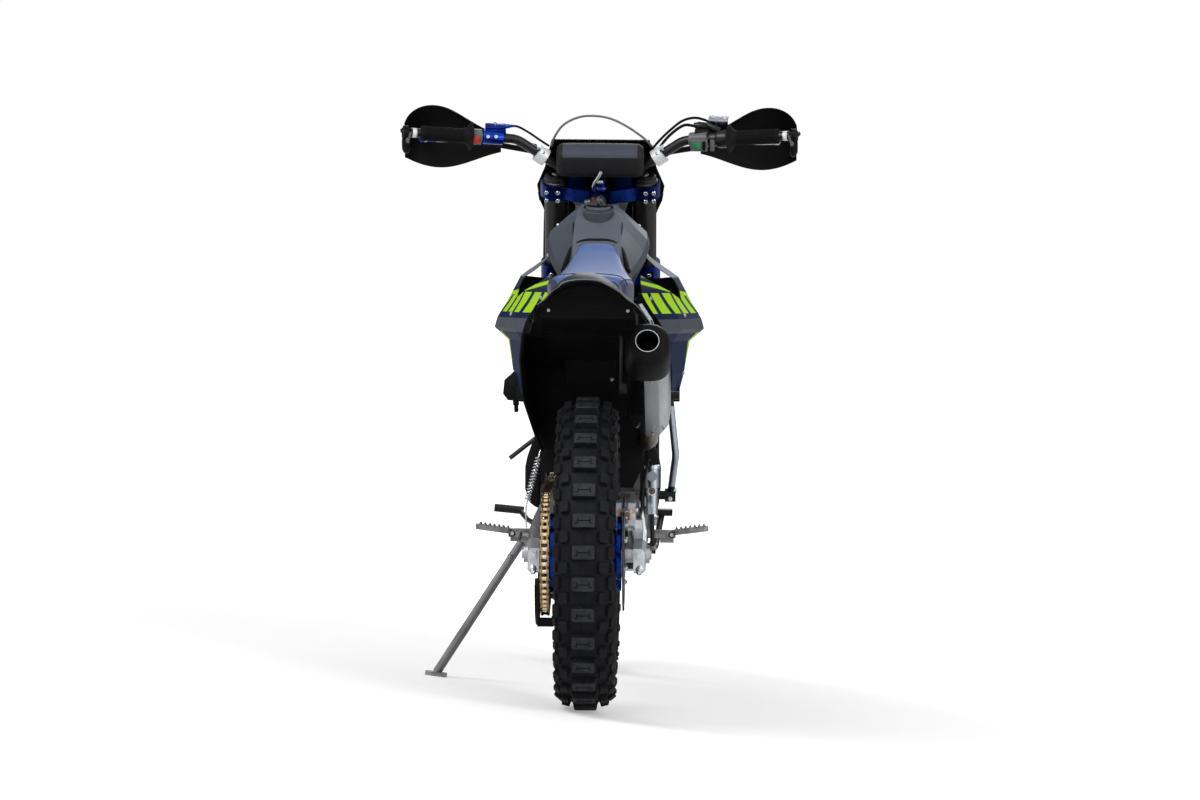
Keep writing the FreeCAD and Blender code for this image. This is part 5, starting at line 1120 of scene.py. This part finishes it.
def exhaust():
    """The can, its end cap with the outlet, rivets, hanger, clamp and springs."""
    outline = [(1, 0.3), (0.66, 1), (-0.66, 1), (-1, 0.3), (-0.95, -0.35), (-0.15, -1), (0.5, -1),
               (0.9, -0.5)]
    body = [[on_can(along, a * w, b * h) for a, b in outline]
            for along, w, h in ((-CAN_LENGTH, 23, 23), (-CAN_LENGTH + 68, 47, 47), (-90, 47, 49.8))]
    piece("can_body", loft(body), can_metal(), bevel=3.0, angle=30, replaces=("muffler",),
          slot="muffler_shell")
    cap = [rounded(*row) for row in ((-98, 46, 49), (-98, 48.6, 51.4), (-94, 49, 52), (-64, 48.5, 51.5, 0.5),
                                     (-30, 46, 49, 1), (-12, 41.5, 43.5, 1), (-3, 36, 37, 0.5))]
    cap += [[on_can(along, r * math.cos(t), r * math.sin(t)) for t in turns(48)]
            for along, r in ((-0.5, 30), (-0.5, 27.5), (-2.5, 25.2), (-2.5, 23.2), (-58, 23.2), (-58, 1))]
    piece("can_cap", loft(cap), "black_plastic")
    ring = [(-3, 25.0), (0.8, 25.8), (1.8, 25.3), (1.8, 24.0), (-3, 23.4)]
    piece("outlet_ring", hoop(ring, on_can(-1.5, 0, 0), CAN, 48), "silver_brushed")
    rivets = []
    for right, up, out_x, out_up in ((0, 49.8, 0, 1), (39, 32.4, 0.9, 0.43), (-39, 32.4, -0.9, 0.43),
                                     (33, -37.3, 0.8, -0.6), (-25.9, -33.6, -0.65, -0.76), (8, -49.8, 0, -1)):
        rivets += [lathe([(-2, 2.6), (1.0, 2.6), (1.9, 1.4)], on_can(along, right, up),
                         Vector((out_x, 0, 0)) + CAN_UP * out_up, 10) for along in (-104, -396)]
    piece("can_rivets", rivets, "steel")
    piece("can_hanger", [prism([(88, 680), (114, 680), (110, 820), (94, 826)], "x", 64, 70),
                         block(64, 92, 88, 114, 676, 698)], "black_paint", bevel=1.0)
    clamp = [hoop([(0, 24.5), (0, 28.0), (7, 28.0), (7, 24.5)], on_can(along, 0, 0), CAN, 28)
             for along in (-452, -438)]
    piece("exhaust_clamp", clamp + [hex_bolt(on_can(-446, 27, 10), (1, 0, 0.2), 4.5)], "steel")
    piece("exhaust_springs", [coil(on_can(-470, 24 * s, 12), on_can(-430, 28 * s, 14), 3.6, 0.9, 9, 5, 8)
                              for s in (-1, 1)], "steel")


def cover_bolts(count, at, direction, radius):
    """A ring of bolts on one of the engine's covers."""
    a, b = across(direction)
    return [hex_bolt(Vector(at) + (a * math.cos(t) + b * math.sin(t)) * radius, direction, 4.2)
            for t in turns(count)]


def engine():
    """Bolts, caps, coolant hoses with their clamps and the spark lead."""
    piece("cover_bolts", cover_bolts(8, (96, 832, 398), (1, 0, 0), 78)
          + cover_bolts(6, (-76, 834, 398), (-1, 0, 0), 52), "steel")
    hoses = (([(70, 975, 700), (73, 990, 680), (80, 1004, 662), (93, 1009, 656)], 11),
             ([(-70, 960, 720), (-73, 982, 690), (-80, 1003, 663), (-93, 1009, 656)], 11),
             ([(20, 985, 770), (42, 1000, 802), (64, 1008, 848), (93, 1009, 870)], 10))
    piece("coolant_hoses", [sweep(curve(points, 6), radius, 14) for points, radius in hoses], "hose_blue")
    clamps = (((81, 1004.5, 661), (1, 0.4, -0.6)), ((-81, 1003.5, 662), (-1, 0.4, -0.6)),
              ((66, 1008, 850.5), (0.8, 0.1, 0.9)))
    band = [(-4, 10.6), (-4, 12.8), (4, 12.8), (4, 10.6)]
    piece("hose_clamps", [hoop(band, at, direction, 20) for at, direction in clamps], "steel")
    lead = curve([(0, 905, 800), (6, 915, 830), (24, 935, 850), (40, 960, 862), (30, 990, 880)], 6)
    boot = lathe([(0, 10), (22, 9), (26, 6), (34, 5.5)], (0, 900, 770), (0, 0.15, 1), 16)
    piece("spark_lead", [sweep(lead, 4.2), boot], "rubber")
    piece("oil_caps", [
        lathe([(-4, 15), (6, 15), (8, 13), (8, 6), (13, 5.5), (13, 2)], (92, 764, 452), (1, 0, 0.25), 18),
        lathe([(-3, 17), (2.4, 17), (3.4, 14.5)], (98, 892, 440), (1, 0, 0), 20)], "blue_bright")


def split_metal(name, low, high, colour):
    """Satin metal between two heights and black paint beyond them."""
    n = Nodes(name)
    bare = n.band(n.xyz(n.place())[2], low, high)
    patches = n.noise(30.0, 4.0)
    metal = n.mix(patches, shade(colour, 0.85), shade(colour, 1.1))
    paint = n.mix(patches, (0.004, 0.004, 0.005), (0.008, 0.008, 0.009))
    return n.coat(n.mix(bare, paint, metal), n.noise(900.0), (0.28, 0.4), 0.12, Metallic=bare,
                  Specular_IOR_Level=0.25)


def rear_details():
    """The rear brake's hose and fittings, the stand's spring, guards and axle hardware."""
    back = (0, -1, 0)
    put_on("brake_pedal", split_metal("brake_metal", 0.405, 0.6, (0.3, 0.33, 0.36)))
    put_on("kickstarter", split_metal("kick_metal", 0.46, 0.64, (0.4, 0.46, 0.52)))
    ball = [(-9, 1), (-7.8, 4.5), (-4.5, 7.8), (0, 9), (4.5, 7.8), (7.8, 4.5), (9, 1)]
    piece("kick_ball", [lathe(ball, (176, 616, 450), (0, -0.3, 1), 20), hex_bolt((170, 604, 432), back, 4.5)],
          "white_metal")
    piece("rear_master_sight", [
        lathe([(-4, 10.5), (2.0, 10.5), (2.4, 8.0), (1.4, 7.6)], (132, 427.5, 456), back, 24),
        hex_bolt((132, 427.5, 424), back, 3.6), hex_bolt((132, 424.5, 486), back, 3.6),
        lathe([(0, 17.5), (6, 17.5), (8, 14)], (132, 441, 505), (0, 0, 1), 24)], "silver_brushed")
    piece("sight_glass", lathe([(0, 7.2), (1.8, 7.0), (2.2, 2.0)], (132, 427, 456), back, 18), "pipe_metal")
    hose = [(132, 438, 512), (124, 420, 522), (114, 330, 470), (112, 220, 420), (108, 130, 410),
            (98, 96, 392)]
    piece("rear_brake_hose", sweep(curve(hose, 7), 3.1), "rubber")
    # Caliper: the pads in their window, the pins and the bracket's bolts
    piece("rear_pads", [block(x0, x1, 44, 58, 407, 430) for x0, x1 in ((64, 71.5), (86.5, 94))], "pad_metal",
          bevel=0.8)
    piece("rear_caliper_bolts", [
        *[lathe([(0, 3.0), (34, 3.0)], (62, 50, z), (1, 0, 0), 12) for z in (412, 425)],
        hex_bolt((106, 58, 372), (0.2, -1, 0), 6.5),
        hex_bolt((102, 60, 428), (1, 0, 0), 5.5)], "silver_brushed")
    # Chain adjusters under the swingarm's ends
    ends = []
    for sx in (-1, 1):
        ends += [lathe([(-16, 10), (4, 10), (6, 8)], (113 * sx, -46, 306), (0, -0.55, -0.84), 14),
                 hex_bolt((113 * sx, -49.5, 300.5), (0, -0.55, -0.84), 6.5)]
    piece("arm_end_bolts", ends, "silver_cast")
    # The fin that wraps the lower chain run behind the sprocket
    outer, inner = [[(r * math.sin(a), REAR_Z - r * math.cos(a))
                     for a in (math.radians(k) for k in range(-66, 43, 6))] for r in (153, 118)]
    fin = [prism([outer[k], outer[k + 1], inner[k + 1], inner[k]], "x", -107, -100)
           for k in range(len(outer) - 1)]
    fin += [prism([(102, 223), (124, 306), (96, 306), (79, 249)], "x", -107, -100),
            block(-103, -69, -44, 46, 182.5, 187), block(-103, -69, -48, -43, 182.5, 202),
            block(-73, -69, -44, 46, 182.5, 204)]
    piece("chain_fin", fin, "black_plastic")
    # Frame guards beside the pivot plates, and the block at the left radiator's foot
    guard = [(116.5, 590), (126, 574), (135, 556), (145, 527), (149.5, 504), (149.5, 456), (141, 427),
             (129, 417), (116.5, 411)]
    piece("frame_guards", both([prism(guard, "y", 503, 588)]), "black_plastic", bevel=5.0)
    piece("guard_lever", sweep([(-118, 520, 574), (-150, 518, 549), (-184, 514, 522)], 5.2), "black_paint")
    foot = [(-168, 700), (-196, 702), (-214, 686), (-217, 654), (-206, 640), (-172, 636)]
    fitting = lathe([(0, 7), (14, 7), (14, 5), (28, 5), (30, 3.5)], (-188, 1000, 642), (0.05, 0, -1), 14)
    piece("radiator_foot", [prism(foot, "y", 982, 1016), fitting], "black_plastic", bevel=2.0)
    # Ribbed ducts between the radiators' top tanks and the shrouds
    duct = [prism([(118, 883), (184, 883), (181, 905), (170, 924), (120, 919)], "y", 990, 996)]
    duct += [block(122, 176, 985, 991, z, z + 3) for z in (890, 900, 910)]
    piece("air_ducts", both(duct), "black_plastic")
    # The flap below the inner fender, with a notch for the chain
    flap = [(-112, 553), (112, 553), (108, 500), (90, 464), (-68, 464), (-68, 496), (-103, 496), (-103, 468),
            (-112, 478)]
    piece("rear_flap", prism(flap, "y", 380.5, 384.5), "black_plastic")
    # Side stand spring with its hooks
    hooks = [[(-112, 478, 552), (-114, 458, 544), (-118, 452, 527)],
             [(-142, 448, 432), (-145, 446, 412), (-144, 440, 372)]]
    piece("stand_spring", [coil((-118, 452, 527), (-142, 448, 432), 6.0, 1.6, 14, 7, 12),
                           *[sweep(curve(hook, 5), 1.7, 7) for hook in hooks]], "silver_brushed")


def pegs():
    """Footpegs: a toothed ring with a centre bar on a hinged hanger."""
    def plan(grow):
        w, h = 30 - grow, 17 - grow
        return [(217 + sx * w + 9 * math.cos(a), 488 + sy * h + 9 * math.sin(a))
                for sx, sy, start in ((1, 1, 0), (-1, 1, 90), (-1, -1, 180), (1, -1, 270))
                for a in (math.radians(start + 22.5 * k) for k in range(5))]

    def at(x, y, up):
        return Vector((x, y, 357 + (x - 172) * 0.13 + up))

    rows = ((0, -1), (0, 10), (5, 10), (5, -1))
    side = [loft([[at(*p, up) for p in plan(grow)] for grow, up in rows], closed=True),
            loft([[at(x, y, up) for y, up in ((484, 0), (492, 0), (492, 9), (484, 9))] for x in (180, 254)])]
    side += [lathe([(0, 3.4), (3, 2.6), (6, 1.2)], at(x, y, 9), (0, 0, 1), 6)
             for x in range(186, 255, 10) for y in (464.5, 488, 511.5)]
    side += [prism([(116, 476), (166, 470), (184, 474), (184, 502), (166, 506), (116, 500)], "z", 350, 368),
             block(150, 180, 480, 496, 340, 352)]
    piece("peg_rings", both(side), "peg_grey", angle=30, replaces=("footpegs",), slot="peg_steel")
    pin = lathe([(-20, 7), (-20, 4.5), (20, 4.5), (20, 7), (23, 7)], (176, 488, 358), (0, 1, 0), 14)
    piece("peg_pins", both([pin]), "steel")


def front_details():
    """Lamp bowl, fork seals and the front brake hose."""
    outline = [(-58, 868), (58, 868), (66, 840), (48, 776), (-48, 776), (-66, 840)]
    bowl = [[(x * share, u, 822 + (s - 822) * share) for x, s in outline]
            for u, share in ((68, 0.35), (84, 0.72), (101, 0.93))]
    steered("lamp_bowl", loft(bowl), "silver_brushed")
    steered("fork_seals", [lathe([(0, 25), (0, 30.5), (5, 31.5), (11, 30), (13, 25.5)], (100 * sx, 22, 345),
                                 (0, 0, 1), 32) for sx in (-1, 1)], "rubber")
    hose = [(-122, 48, 905), (-128, 54, 800), (-131, 52, 640), (-134, 46, 420), (-134, 40, 240),
            (-122, 10, 90), (-96, -16, 60)]
    steered("front_brake_hose", sweep(curve(hose, 7), 3.1), "rubber")


view()
studio()
finishes()
dress_nodes()
tyres()
wheels()
chain()
grips()
controls()
pad()
cable_runs()
yoke_details()
seat()
tank_cover()
body_panels()
exhaust()
engine()
rear_details()
pegs()
front_details()
